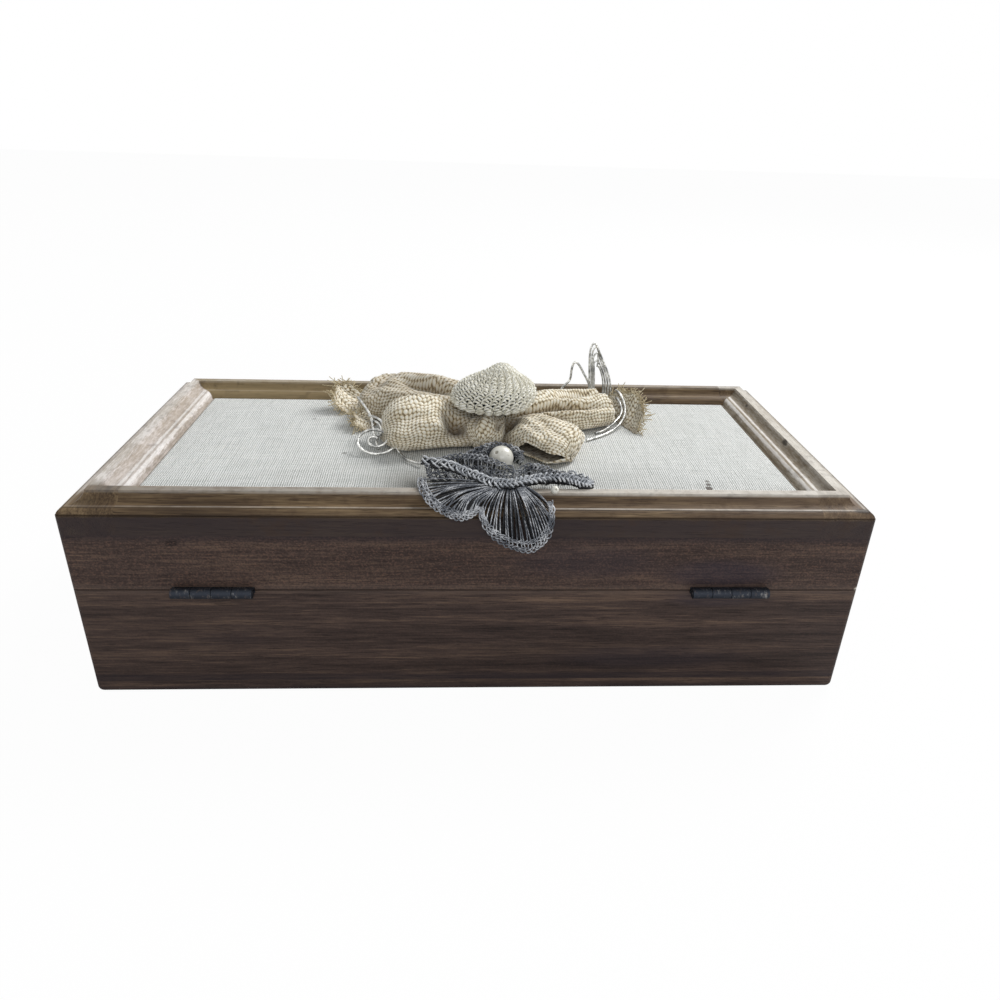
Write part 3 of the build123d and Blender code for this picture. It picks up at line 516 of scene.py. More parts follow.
# Brown spots, four of them in one stroke: middle, radius and strength
for spot_x, spot_y, radius, strength in (
        (-62.6, 18.7, 0.9, 0.4), (-46.3, -15.3, 1.0, 0.45), (79.6, -36.2, 0.8, 0.7),
        (79.4, -38.4, 1.0, 0.8), (79.0, -40.8, 1.3, 0.85), (79.0, -43.0, 1.7, 0.85)):
    spot = cloth.spot(cloth_x, cloth_y, spot_x, spot_y, radius, radius)
    linen_colour = cloth.blend(cloth.ease(spot + slubs * 0.5, 0.55, 0.8) * strength, linen_colour,
                               paint(72, 58, 48))
# Painted shade beside the crochet, where the flower's shadow falls on the linen: middle, half widths and
# strength
for *shade_spot, strength in ((-20, -39, 11, 9, 0.7), (-22, -33, 36, 15, 0.2), (34, -36, 36, 12, 0.18)):
    linen_colour = cloth.blend(cloth.spot(cloth_x, cloth_y, *shade_spot) * strength, linen_colour,
                               paint(92, 88, 78))
dress(linen, "linen_cover", cloth.wear(weave * 0.00022 + slubs * 0.00010, Base_Color=linen_colour))

# Burlap petals. Each is a puff of coarse jute cloth, 1.4 mm from thread to thread, gathered under the
# dome and glued to the linen. All are tucked in at their ends but the right one, which is open. The
# front right one has a mouth along its near side, and a short gather closes the front.
weave_pitch = 1.4
points_a_thread = 4
flower = np.array([7.5, -0.5, linen_top])


def ease(value, low, high):
    """Smooth step of an array: 0 below low, 1 above high, 3s^2 - 2s^3 between."""
    share = np.clip((value - low) / (high - low), 0, 1)
    return share * share * (3 - 2 * share)


def unit(vectors):
    """Vectors of the same directions and of length 1."""
    return vectors / np.maximum(np.linalg.norm(vectors, axis=-1, keepdims=True), 1e-9)


def from_flower(direction, distance, side, rise):
    """Points at a distance from the flower's middle along a direction in degrees, so far to the left of
    that line and so high above the linen."""
    way = math.radians(direction)
    outward = np.array([math.cos(way), math.sin(way), 0])
    sideways = np.array([-math.sin(way), math.cos(way), 0])
    return flower + distance[..., None] * outward + side[..., None] * sideways + rise[..., None] * [0, 0, 1]


def spline(points, samples, degree=3):
    """Points along a clamped B-spline of control points, on the first axis. The shares come from the
    Cox and de Boor rule: N(i,k) = (t - t_i) N(i,k-1) / (t_i+k - t_i) + (t_i+k+1 - t) N(i+1,k-1) / ..."""
    points = np.asarray(points, float)
    knots = np.concatenate([np.zeros(degree), np.linspace(0, 1, len(points) - degree + 1), np.ones(degree)])
    at = np.linspace(0, 1 - 1e-9, samples)[:, None]
    shares = ((knots[:-1] <= at) & (at < knots[1:])).astype(float)
    for order in range(1, degree + 1):
        up = knots[order:-1] - knots[:-1 - order]
        down = knots[order + 1:] - knots[1:-order]
        shares = ((at - knots[:-1 - order]) / np.where(up > 0, up, 1) * shares[:, :-1]
                  + (knots[order + 1:] - at) / np.where(down > 0, down, 1) * shares[:, 1:])
    return np.tensordot(shares, points, 1)


def outwards(points, wrap):
    """Unit normals of a grid of points: its column direction crossed with its row direction."""
    around = np.roll(points, -1, 1) - np.roll(points, 1, 1) if wrap else np.gradient(points, axis=1)
    return unit(np.cross(around, np.gradient(points, axis=0)))


def burlap_piece(name, node, points, crease_shade, wrap):
    """Piece of plain woven cloth, four points to a thread. The thread counts u and v wander by slow
    sines and are kept as UV. In each cell the height is sqrt(1 - 3.6x^2) cos(2.6y), with x across the
    upper thread and y along it, slanted by 0.3y, and every other cell turned. It moves the points. An
    attribute of painted shade darkens the colour in folds, near the linen and near the dome."""
    rows, columns = points.shape[:2]
    u, v = np.meshgrid(np.arange(columns + wrap) / points_a_thread, np.arange(rows) / points_a_thread)
    round_angle = 2 * np.pi * points_a_thread * u / columns
    wander = 0.35 * np.sin(3 * round_angle + 0.7 * v) + 0.3 * np.sin(0.9 * v + 1.3 * np.sin(0.35 * v))
    u, v = u + wander, v + 0.3 * np.sin(5 * round_angle + 0.4 * v)
    x, y = u - np.floor(u) - 0.5, v - np.floor(v) - 0.5
    turned = (np.floor(u) + np.floor(v)) % 2 > 0.5
    over, length = np.where(turned, y, x), np.where(turned, x, y)
    over = over + 0.3 * length
    weave = np.sqrt(np.clip(1 - 3.6 * over ** 2, 0.05, 1)) * np.cos(2.6 * length)
    raised = points + outwards(points, wrap) * (0.42 * (weave[:, :columns] - 0.6))[..., None]
    faces, across, along = grid_faces(rows, columns, wrap)
    piece = mesh_piece(name, raised, faces.tolist(), np.stack([u[along, across], v[along, across]], -1))
    piece.data.attributes.new("crease_shade", "FLOAT", "POINT").data.foreach_set(
        "value", np.broadcast_to(crease_shade, (rows, columns)).astype(np.float32).ravel())
    shell = piece.modifiers.new("thickness", "SOLIDIFY")
    shell.thickness, shell.offset = 0.0005, -1
    dress(piece, node, jute)


cloth = Finish("jute_cloth", Roughness=0.95, Sheen_Weight=0.2, Sheen_Roughness=0.6)
counts = cloth.node("ShaderNodeUVMap", {"uv_map": "UVMap"})
weft_count = counts.axis(0)
warp_count = counts.axis(1)
weft_number = weft_count.math("FLOOR")
warp_number = warp_count.math("FLOOR")
cell_x = weft_count - weft_number - 0.5
cell_y = warp_count - warp_number - 0.5
turned = abs((weft_number + warp_number).math("MODULO", 2.0))
along_thread = cell_y * (1.0 - turned) + cell_x * turned
across_thread = cell_x * (1.0 - turned) + cell_y * turned + along_thread * 0.3
edge = abs(across_thread)
dip = abs(along_thread)
fibres = cloth.noise(2600, 4.0, 0.7)
patches = cloth.noise(170, 4.0, 0.65)
thread_tone = cloth.noise((1.2, 0.35, 1), 2.0, 0.6, counts) * (1.0 - turned) + cloth.noise(
    (0.35, 1.2, 1), 2.0, 0.6, counts) * turned
hole = cloth.ease(edge + fibres * 0.15, 0.4, 0.56) * cloth.ease(dip + patches * 0.25, 0.3, 0.52)
shadow = cloth.ease(edge, 0.12, 0.5) * 0.5 + cloth.ease(dip, 0.1, 0.5) * 0.4
twist = ((along_thread * 0.9 + across_thread * 1.3) * 14.0).math("SINE")
shade = 1.0 - shadow + (fibres - 0.5) * 0.7 + twist * 0.05 + (thread_tone - 0.5) * 1.1 - (patches - 0.5) * 0.5
jute_colour = cloth.ramp(shade, (0.1, paint(104, 88, 62)), (0.45, paint(192, 174, 138)),
                         (0.7, paint(244, 231, 203)), (0.95, paint(255, 250, 236)))
jute_colour = cloth.blend(cloth.ease(patches, 0.5, 0.75) * 0.3, jute_colour, paint(150, 134, 98))
# Painted shade in the folds, near the linen and near the dome, from the attribute that the petals and leaves
# carry.
fold_shade_share = cloth.node("ShaderNodeAttribute", {"attribute_name": "crease_shade"}, {}, 2)
jute_colour = cloth.blend(fold_shade_share * 0.8, jute_colour, paint(98, 76, 46))
# The holes are painted dark as the shade seen through the gaps, and the thread edges take painted shadow.
jute_colour = cloth.blend(hole * 0.55, jute_colour, paint(88, 72, 48))
jute = cloth.wear(fibres * 0.00025 + twist * 0.00003, Base_Color=jute_colour)


def puff(direction, seams, reach, crests, widths, skew, tuck, slit, folds):
    """A petal as a tube along its line outwards, from a distance d of 2.5 mm to reach. At the angle p from
    the top its side offset is -w(d) sin^k p + skew (0.5 + 0.5 cos p), k being 0.8 above and 0.4 below
    its middle, and its height h(d) (0.5 + 0.5 cos p)^0.9. Widths and crests are spline values along d, w
    is kept between the two seams, and a tucked end rounds over. Folds multiply both by
    1 - depth exp(-p'^2 - s'^2). A slit, in radians, opens the foot of the right side, from 8 mm outwards
    and in full from 22 mm on."""
    start = 2.5
    rows = int(round((reach - start + (4 if tuck else 0)) / weave_pitch)) * points_a_thread + 1
    girth = (2 * max(widths) + 1.4 * max(crests)) * 1.06
    columns = int(round(girth / weave_pitch)) // 2 * 2 * points_a_thread
    turns = np.linspace(0, 1, columns + 1) if slit else np.arange(columns) / columns
    share, turns = np.meshgrid(np.linspace(0, 1, rows), turns, indexing="ij")
    straight = reach - tuck - start
    run = share * (straight + tuck * math.pi / 2)
    bend = np.clip((run - straight) / max(tuck, 1), 0, math.pi / 2) if tuck else 0 * share
    closing = np.cos(bend * 0.985) ** 0.85
    distance = start + (np.minimum(run, straight) + tuck * np.sin(bend) if tuck else share * (reach - start))
    lip = math.pi - slit * ease(distance, 8, 22)
    hem = 0.08 * math.pi
    angle = -math.pi - hem + turns * (lip + math.pi + hem) if slit else turns * 2 * math.pi - math.pi
    widest_angle = 76
    limit = np.where(np.sin(angle) < 0, math.tan(math.radians(min(seams[1] - direction, widest_angle))),
                     math.tan(math.radians(min(direction - seams[0], widest_angle))))
    at = (distance - start) / (reach - start)
    lines = np.linspace(0, 1, 60)
    half_width = np.minimum(np.interp(at, lines, spline(widths, 60, 2)), distance * limit + 1.0) * closing
    crest = np.interp(at, lines, spline(crests, 60, 2)) * (0.25 + 0.75 * closing)
    fold = 1 + 0.05 * np.sin(5 * angle + 3 * share) * (1 - 0.6 * share)
    fold = fold + 0.02 * np.sin(11 * angle - 9 * share)
    for fold_at, fold_angle, depth, fold_reach, fold_width, drift in folds:
        fold = fold - depth * np.exp(-((at - fold_at) / fold_reach) ** 2
                                     - ((angle - fold_angle - drift * (at - fold_at)) / fold_width) ** 2)
    round_top = 0.5 + 0.5 * np.cos(angle)
    bulge = np.sign(np.sin(angle)) * np.abs(np.sin(angle)) ** np.where(np.cos(angle) < 0, 0.4, 0.8)
    side = -half_width * bulge * fold + skew * round_top * np.minimum(half_width / 8, 1)
    hemmed = angle < -math.pi
    hem_share = (angle + math.pi) / hem
    side = np.where(hemmed, half_width * 0.9 * hem_share, side)
    rise = crest * (1 - closing) * 0.3
    rise = rise + crest * np.where(hemmed, 0, round_top) ** 0.9 * np.minimum(fold, 1.04)
    rise = rise + np.where(hemmed, 1.8 * hem_share ** 2, 0)
    # Painted shade: it deepens in the folds, near the linen and near the dome.
    crease_shade = 1.6 * (0.97 - fold) + 0.8 * np.exp(-rise / 1.6) + 0.5 * (1 - ease(distance, 6, 17))
    return from_flower(direction, distance, side, rise + 0.45), np.clip(crease_shade, 0, 1)


# Direction, seams, reach, crests, widths, skew, tuck, slit, and the folds: place along, angle, depth,
# reach, width and drift
for name, *shape in (
        ("back_left_petal", 151, (110, 171), 60, (6, 8, 15, 17.5, 16.2, 15.2, 14.4, 13.2),
         (5, 8, 10.5, 11.5, 11.5, 11), -7.5, 8.0, 0,
         ((0.35, 0.75, 0.22, 0.16, 0.35, -1.0), (0.7, 0.9, 0.34, 0.2, 0.26, 1.6),
          (0.86, -0.3, 0.2, 0.05, 0.8, 0.0), (0.5, -0.5, 0.3, 0.2, 0.25, 0.8))),
        ("front_left_petal", 187, (171, 262), 42, (8, 9, 10, 15.5, 16.5, 16, 14.5, 12.5),
         (10.5, 12, 13, 14.5, 16, 16, 15), -1.5, 9.0, 0,
         ((0.33, -0.95, 0.85, 0.10, 0.7, 0.0), (0.36, 0.9, 0.3, 0.12, 0.5, 0.0),
          (0.66, 0.75, 0.12, 0.25, 0.4, 0.8), (0.8, -0.9, 0.10, 0.15, 0.35, 0.0))),
        ("front_right_petal", -42, (-98, -8), 35, (8, 9, 12, 12.5, 11.5, 10.5, 9.5),
         (4.5, 6, 8, 9.5, 10.5, 10.4), 4.5, 5.0, 1.5,
         ((0.12, 0.8, 0.7, 0.12, 0.8, 0.0), (0.45, 0.1, 0.12, 0.3, 0.3, 0.6),
          (0.75, -0.75, 0.16, 0.25, 0.25, 0.0))),
        ("right_petal", 24, (-8, 60), 48.5, (8, 9, 13.5, 14.5, 13, 12.2, 12),
         (6, 8.5, 10.5, 11, 10.8, 10), 2.5, 0, 0,
         ((0.5, 0.8, 0.5, 0.32, 0.24, 0.5), (0.75, 0.05, 0.3, 0.25, 0.2, -0.5),
          (0.35, 1.45, 0.4, 0.2, 0.25, 0.0), (0.85, -0.7, 0.12, 0.2, 0.3, 0.0))),
        ("front_gather", 249, (160, 340), 14.8, (12.5, 12.5, 12.5, 11.5, 9.5, 8),
         (5, 6, 6.5, 7, 6.5), 0, 4.5, 0,
         ((0.5, -0.9, 0.2, 0.3, 0.3, 0.0), (0.6, 0.5, 0.16, 0.3, 0.25, 0.5)))):
    petal_points, petal_shade = puff(*shape)
    # The back left petal gets more painted shade.
    extra_shade = 0.35 if name == "back_left_petal" else 0.0
    burlap_piece(f"{name}_cloth", "front_left_petal" if name == "front_gather" else name, petal_points,
                 petal_shade + extra_shade, name != "front_right_petal")


# Burlap leaves: two scraps of the same cloth beyond the outer petals, glued down at their foot and
# standing up, with outer edges frayed to loose threads, and a flap of the petal before the left one.
def tubes(paths, radius, sides, reference, layer=0.0):
    """Round threads along many paths at once: a ring of points round each path point, in the plane of
    T x reference and T x (T x reference), where T is the path's direction. Gives points, faces and UV,
    and a layer above 0 is added to the UV to mark threads that lie behind."""
    paths = np.asarray(paths, float)
    onward = unit(np.gradient(paths, axis=1))
    side = unit(np.cross(onward, np.asarray(reference, float)))
    up = np.cross(onward, side)
    turn = (np.arange(sides) / sides * 2 * np.pi)[:, None]
    rings = paths[:, :, None] + radius * (np.cos(turn) * side[:, :, None] + np.sin(turn) * up[:, :, None])
    count, steps = paths.shape[:2]
    faces, around, onwards = grid_faces(steps, sides, True)
    first = (np.arange(count) * steps * sides)[:, None, None]
    strides = np.linalg.norm(np.diff(paths, axis=1), axis=-1)
    run = np.cumsum(np.concatenate([np.zeros((count, 1)), strides], 1), 1)
    ring = np.arange(sides)
    caps = np.concatenate([ring[::-1] + first[:, 0], ring + first[:, 0] + (steps - 1) * sides])
    places = np.stack([np.broadcast_to(around / sides, (count, *around.shape)) + layer, run[:, onwards]], -1)
    return (rings.reshape(-1, 3), (faces[None] + first).reshape(-1, 4).tolist() + caps.tolist(),
            np.concatenate([places.reshape(-1, 2), np.full((caps.size, 2), layer)]))


def bundle(name, sets):
    """One piece from several sets of tubes, as (points, faces, UV)."""
    starts = np.cumsum([0] + [len(points) for points, _, _ in sets])
    faces = [[corner + start for corner in face]
             for (_, group, _), start in zip(sets, starts) for face in group]
    return mesh_piece(name, np.concatenate([points for points, _, _ in sets]), faces,
                      np.concatenate([uv for _, _, uv in sets]))


def spun_finish(name, ply_shade, body, crest, ply, rough, stripe=0.5):
    """Finish of plied thread: stripes across the UV's ring and run for the plies, fine hairs, and slow
    changes of colour along the thread. Between the plies the colour is painted shade, and on their
    crests and the hairs it is painted highlight. Threads of a layer above 0 are painted nearly black, as
    the shade behind the threads in front."""
    spun = Finish(name, Specular_IOR_Level=0.35)
    ring_run = spun.node("ShaderNodeUVMap", {"uv_map": "UVMap"})
    ring = ring_run.axis(0)
    plies = ((ring * 2.0 + ring_run.axis(1) * (1 / ply)) * (2 * math.pi)).math("SINE") * 0.5 + 0.5
    hairs = spun.noise(3000, 3.0, 0.7)
    shade = plies * stripe + hairs * 0.3 + spun.noise(240, 3.0, 0.6) * (0.75 - stripe)
    # Painted shade between the plies and painted highlight on their crests, over real slow changes of tone.
    colour = spun.ramp(shade, (0.25, paint(*ply_shade)), (0.5, paint(*body)), (0.75, paint(*crest)))
    # Threads of layer 2, which lie behind, are painted nearly black as shade.
    colour = spun.blend(spun.ease(ring, 1.4, 1.6), colour, (0.004, 0.005, 0.007, 1))
    return spun.wear(plies * (0.0002 * stripe) + hairs * 0.00008, Base_Color=colour,
                     Roughness=rough + hairs * 0.1)


loose_jute = spun_finish("loose_jute", (128, 110, 74), (190, 174, 140), (238, 230, 206), 1.2, 0.9, 0.2)
frays = np.random.default_rng(11)
slanting = (0.31, 0.2, 0.93)
for name, direction, start, width, rise, lean, curl in (
        ("left_leaf", 151, 62.0, 15, 8.5, 6.0, 1.2), ("left_flap", 166, 47.5, 13, 4.0, 4.0, 0.6),
        ("right_leaf", 21, 54.0, 27, 10.0, 4.0, -1.4)):
    leaf_rows, leaf_columns = 9 * points_a_thread + 1, int(width / weave_pitch) * points_a_thread + 1
    share, across = np.meshgrid(np.linspace(0, 1, leaf_rows), np.linspace(-1, 1, leaf_columns), indexing="ij")
    standing = ease(share, 0.2, 0.75)
    rounded = 1 - 0.3 * across ** 4
    distance = (start + 3.5 * share + lean * standing * share * rounded
                + 0.8 * np.sin(4 * across + 1) * standing)
    lift = 0.55 + (rise * (share - 0.25).clip(0) ** 1.1 * 1.25 * rounded + curl * across * standing
                   + 0.7 * np.sin(6 * across + 2) * standing)
    side = across * width / 2 * (1 - 0.25 * share ** 3) + 0.5 * np.sin(6 * share)
    leaf_points = from_flower(direction, distance, -side, lift)
    node = "back_left_petal" if name == "left_flap" else name
    # Two loose threads from every other point of the cloth's free edges, away from its middle
    bare_row = 14
    root = np.concatenate([leaf_points[-1, 1:-1], leaf_points[bare_row:, 0], leaf_points[bare_row:, -1]])
    root = np.repeat(root[::2], 2, 0)
    loose = frays.normal(0, 1, (2, len(root), 1, 3)) * [1.0, 1.0, 0.8]
    away = unit(root - leaf_points[bare_row, leaf_columns // 2])
    run = np.linspace(0, 1, 9)[None, :, None]
    lines = (root[:, None] + away[:, None] * (1.8 * run) + loose[0] * run * 0.9
             + loose[1] * np.sin(5 * run) * run)
    fringe = bundle(f"{name}_fringe", [tubes(lines, 0.16, 5, slanting)])
    dress(fringe, node, loose_jute)
    # Painted shade at the leaf's foot.
    leaf_shade = 0.5 - 0.5 * ease(share, 0.1, 0.6)
    burlap_piece(f"{name}_cloth", node, leaf_points, leaf_shade, False)

# Knitted dome: a firm round pad covered with two-ply wool knitted in rounds. The wrong side faces
# out, so each round shows as a row of low arches. It has high shoulders and a small peak.
dome_line = spline([(4.2, 68.85), (4.6, 76), (6.5, 83), (12.2, 82.8), (15.4, 85), (13.8, 89.6), (11.2, 91.2),
                    (7.8, 92.8), (4.4, 94.8), (2.4, 97), (0.15, 97.2)], 240)
dome_rise = np.concatenate([[0], np.cumsum(np.linalg.norm(np.diff(dome_line, axis=0), axis=1))])
dome_rise = dome_rise / dome_rise[-1]


def dome_surface(share, angle):
    """Point of the pad: radius and height from its section's line. Its axis starts 1.3 mm to the left of
    the flower's middle and leans 3.7 mm to the right towards the peak."""
    radius = np.interp(share, dome_rise, dome_line[:, 0])
    height = np.interp(share, dome_rise, dome_line[:, 1])
    return np.stack([flower[0] - 1.3 + 3.7 * ease(height, 82, 98) + radius * np.cos(angle),
                     flower[1] + radius * np.sin(angle), height + 0.0 * angle], -1)


pad_rows, pad_columns = 60, 64
share, angle = np.meshgrid(np.linspace(0, 1, pad_rows), np.arange(pad_columns) / pad_columns * 2 * np.pi,
                           indexing="ij")
pad_faces, pad_around, pad_up = grid_faces(pad_rows, pad_columns, True)
pad_ring = np.arange(pad_columns)
pad_caps = [pad_ring[::-1].tolist(), (pad_ring + (pad_rows - 1) * pad_columns).tolist()]
dome_pad = mesh_piece("dome_pad", dome_surface(share, angle), pad_faces.tolist() + pad_caps, np.concatenate(
    [np.stack([pad_around, pad_up], -1).reshape(-1, 2), np.zeros((2 * pad_columns, 2))]))
# The pad is painted dark brown as the shade between the rounds of wool.
dress(dome_pad, "knit_dome",
      spun_finish("shaded_pad_wool", (52, 46, 36), (84, 76, 60), (112, 104, 84), 1.7, 0.9))
yarns = []
dome_stitches = (24, 26, 27, 27, 26, 25, 23, 21, 18, 16, 13, 10, 6)
for row, (level, stitches) in enumerate(zip(np.linspace(0.44, 0.95, len(dome_stitches)), dome_stitches)):
    turn = np.linspace(0, 2 * np.pi, stitches * 12 + 1)
    uneven = 0.27 * np.sin(3 * turn + 9 * level)
    arch = np.abs(np.sin(turn * stitches / 2 + row % 2 * math.pi / 2 + uneven)) ** 0.7
    for ply in (0, 1):
        height = level + (0.046 - 0.008 * ply) * arch - 0.018 * ply + 0.003 * np.sin(5 * turn)
        yarn = dome_surface(np.clip(height, 0, 0.985), turn)
        out = unit(yarn - np.array([flower[0] + 1, flower[1], 87]))
        yarn = yarn + out * (2.0 * arch - 1.1 - 0.2 * ply)[:, None]
        yarns.append(tubes(yarn[None], 0.42, 6, slanting))
dress(bundle("dome_knitting", yarns), "knit_dome",
      spun_finish("grey_cream_wool", (168, 162, 142), (230, 226, 210), (255, 254, 248), 1.6, 0.85, 0.3))


# Crochet: a flower of dark grey glossy thread, glued to the back rail and the linen. Long stitches run
# from its middle to a plaited edge. Two petals hang over the rail, three stand up behind a plaited rope.
def plait(line, wide, high, turns, up):
    """Three strands plaited along a line: strand k at the phase p = 2 pi (turns s + k/3) lies wide sin p
    to the side and high sin 2p up."""
    line = np.asarray(line, float)
    onward = np.gradient(line, axis=0)
    side = unit(np.cross(onward, up))
    over = unit(np.cross(side, onward))
    strand = np.arange(3)[:, None]
    phase = 2 * np.pi * (turns * np.linspace(0, 1, len(line)) + strand / 3)
    loose = 1 + 0.25 * np.sin(phase * 0.37 + 2 * strand)
    sidelong = wide * (loose * np.sin(phase))[..., None] * side
    return line + sidelong + high * np.sin(2 * phase)[..., None] * over


lots = np.random.default_rng(7)
plait_reference = (0.1, 0.5, 0.86)


def crochet_petal(nets, stitches, edges, thread, behind):
    """Threads of petals over B-spline nets whose rows run from root to rim: one up each stitch, bowed at
    random, some more behind, and a plait across at each of the edges' shares."""
    across_points, up_points, plait_pitch = 121, 25, 6.5
    middle, half_up = across_points // 2, up_points // 2
    sets = []
    for net in nets:
        surface = spline(np.swapaxes(spline(net, up_points, 2), 0, 1), across_points, 3)
        normal = outwards(surface, False)
        inwards = 1 if normal[middle, half_up, 1] < 0 else -1
        bulge = np.sin(np.linspace(0, np.pi, up_points))[None, :, None]
        # Threads behind are laid in layer 2, which the thread's finish paints nearly black as shade.
        for count, radius, depth, layer in ((stitches, thread, 0.0, 0.0), (behind, thread * 1.1, -0.75, 2.0)):
            even = (np.arange(count) + 0.5) / count * (across_points - 1)
            at = np.clip((even + lots.normal(0, 0.5, count)).astype(int), 0, across_points - 1)
            bows = lots.normal(0, 0.45, (count, 1, 3)) * bulge
            stitch_lines = surface[at] + normal[at] * depth * inwards + bows
            sets.append(tubes(stitch_lines, radius, 6, (0.9, 0.3, 0.1), layer))
        for edge, wide, strand in edges:
            line = surface[:, int(edge * (up_points - 1))]
            length = np.linalg.norm(np.diff(line, axis=0), axis=-1).sum()
            across = np.cross(surface[middle, -1] - surface[middle, half_up],
                              surface[middle + 10, 18] - surface[middle - 10, 18])
            edging = plait(line, wide, wide * 0.5, length / plait_pitch, across)
            sets.append(tubes(edging, strand, 6, plait_reference))
    return sets


# Nets of control points, then stitches, edges (share, width and thread), thread, threads behind, flat
# size, what it rests on and how it is held
dark_thread = spun_finish("dark_grey_thread", (12, 14, 20), (96, 100, 108), (250, 251, 253), 1.3, 0.3, 0.1)
for name, node, nets, stitches, edges, thread, behind, flat, rests_on, held in (
        ("centre_fan_thread", "crochet_centre_fan", [[
            [(7, -53.5, 74.6), (8, -54, 74.6), (9.5, -54, 74.7), (11.5, -54, 74.7), (13, -54, 74.7),
             (14.5, -54, 74.6), (15.5, -53.5, 74.6)],
            [(3.5, -60, 74.4), (5, -61.5, 74.4), (8.5, -62.5, 74.4), (13, -63, 74.4), (17, -62.5, 74.4),
             (19, -60.5, 74.4), (19.5, -58, 74.4)],
            [(1.2, -64.3, 73), (3, -66, 70), (8, -66.2, 67.5), (15, -66.2, 66.5), (20.5, -66, 69),
             (22.5, -65.5, 71.5), (22, -63, 73.4)],
            [(1.0, -64.8, 72.4), (1.8, -65.2, 65), (8, -65, 59.8), (17, -64.8, 56), (22.8, -65, 62.5),
             (23.4, -65, 70.2), (22, -62.5, 73.6)]]],
         27, ((1.0, 0.75, 0.25), (0.955, 0.55, 0.2)), 0.19, 44, (0.028, 0.031), ["back_rail"], "draped"),
        ("left_fan_thread", "crochet_left_fan", [[
            [(7, -52, 74.6), (7, -52.5, 74.6), (7.2, -53, 74.6), (7.5, -53.5, 74.7), (8, -54, 74.7),
             (8.2, -54.5, 74.6)],
            [(-6, -49.5, 74.8), (-5, -53, 74.6), (-3.5, -56.5, 74.6), (-1, -59, 74.6), (1.5, -60.5, 74.6),
             (3, -60.5, 74.5)],
            [(-14, -48.5, 74.6), (-13, -56, 74.4), (-9.5, -62, 74.2), (-5, -64.5, 73.5), (-1, -64.5, 73.6),
             (1, -63.5, 73.6)],
            [(-18.2, -47.5, 74.2), (-17.4, -58, 73.9), (-13.6, -64.4, 72.6), (-6, -65.2, 68),
             (-1.4, -65.2, 69.6), (0.2, -64.6, 72)]]],
         25, ((1.0, 0.75, 0.25), (0.945, 0.55, 0.2)), 0.19, 44, (0.026, 0.029), ["back_rail"], "draped"),
        ("left_lobe_thread", "crochet_left_lobe", [[
            [(-12, -45, 72.8), (-8, -46.5, 73), (-3, -48, 73.4), (2, -49.5, 73.8), (6, -50.5, 74),
             (9.5, -50.5, 74)],
            [(-15.5, -41.5, 70.8), (-10, -41, 70.6), (-4, -41, 70.6), (2, -42, 70.8), (8, -43, 71),
             (13, -44.5, 71.4)],
            [(-16.5, -39, 71.6), (-12, -37, 71.6), (-5, -36, 71.8), (2, -36.5, 71.8), (8.5, -38.5, 71.8),
             (13.5, -41.5, 71.8)],
            [(-16.6, -38.6, 73.8), (-12.5, -35.4, 75.4), (-5.6, -33.6, 76.2), (2.4, -34, 75.8),
             (9, -37, 74.6), (14, -42, 73.2)]],
            [[(-3, -33, 70.2), (2, -28, 70.2), (7, -23.6, 70.2), (12, -23.4, 70.2), (15.5, -27, 70.2)],
             [(-4.5, -31.5, 72), (0.5, -26, 72.4), (6.5, -22.4, 73), (13, -22.4, 72.6), (17, -26.5, 71.4)],
             [(-3.5, -31, 74.6), (1.5, -26, 75.6), (6.5, -23.2, 76.4), (12.5, -23.6, 75.8),
              (16, -27, 73.8)]]],
         16, ((1.0, 0.9, 0.28), (0.78, 0.95, 0.22), (0.55, 0.95, 0.22)), 0.2, 44, (0.034, 0.03),
         ["linen_cloth"], "gathered"),
        ("right_lobe_thread", "crochet_right_lobe", [[
            [(12, -50.5, 74), (16, -49.5, 74), (20, -48.5, 73.8), (26, -47.5, 73.6), (31, -48.5, 73.6),
             (35, -50, 73.6)],
            [(13, -45, 71), (17, -43, 70.6), (21, -42.5, 70.6), (26, -42.5, 70.6), (32, -43, 70.8),
             (36, -47, 72)],
            [(13.5, -42, 71.4), (17, -40, 71.6), (21, -39.8, 71.6), (26, -41, 71.2), (31, -42.5, 71.2),
             (34.5, -46, 72)],
            [(13.8, -41.4, 73.4), (17, -38.6, 74.8), (20.5, -38.6, 75), (25.5, -41.6, 73.4),
             (31, -42.4, 73.4), (34.6, -47, 73)]]],
         14, ((1.0, 0.9, 0.28), (0.75, 0.95, 0.22), (0.5, 0.95, 0.22)), 0.2, 50, (0.028, 0.024),
         ["linen_cloth"], "gathered")):
    piece = bundle(name, crochet_petal(nets, stitches, edges, thread, behind))
    dress(piece, node, dark_thread)
rim_line = spline([(-17.8, -35, 75.4), (-14, -38.5, 75.8), (-6.5, -42, 76), (-1, -49, 76.1), (5, -55, 76.2),
                   (10, -56.4, 76.4), (15, -53, 76.4), (21, -50.5, 76.1), (27, -49, 75.8), (32, -50.5, 75),
                   (35.5, -52, 74.2), (37, -48.5, 73.6), (34.5, -44.5, 73.6), (30, -42.5, 73.6)], 320)
# Two plaits and a core painted nearly black as shade: shift, half width, height, turns, radius, sides and
# layer
rim = bundle("rim_thread", [
    tubes(plait(rim_line + shift, wide, high, turns, (0, -0.6, 0.8)), radius, sides, plait_reference, layer)
    for shift, wide, high, turns, radius, sides, layer in (
        ([0, 0, 0], 1.2, 0.6, 13, 0.3, 7, 0.0), ([0, 0.6, -0.5], 1.4, 0.5, 11.3, 0.22, 6, 0.0),
        ([0, 0.2, -0.9], 0.9, 0.3, 17, 0.6, 6, 2.0))])
dress(rim, "crochet_rim",
      spun_finish("light_grey_thread", (22, 24, 30), (168, 172, 178), (255, 255, 255), 1.3, 0.34, 0.1))

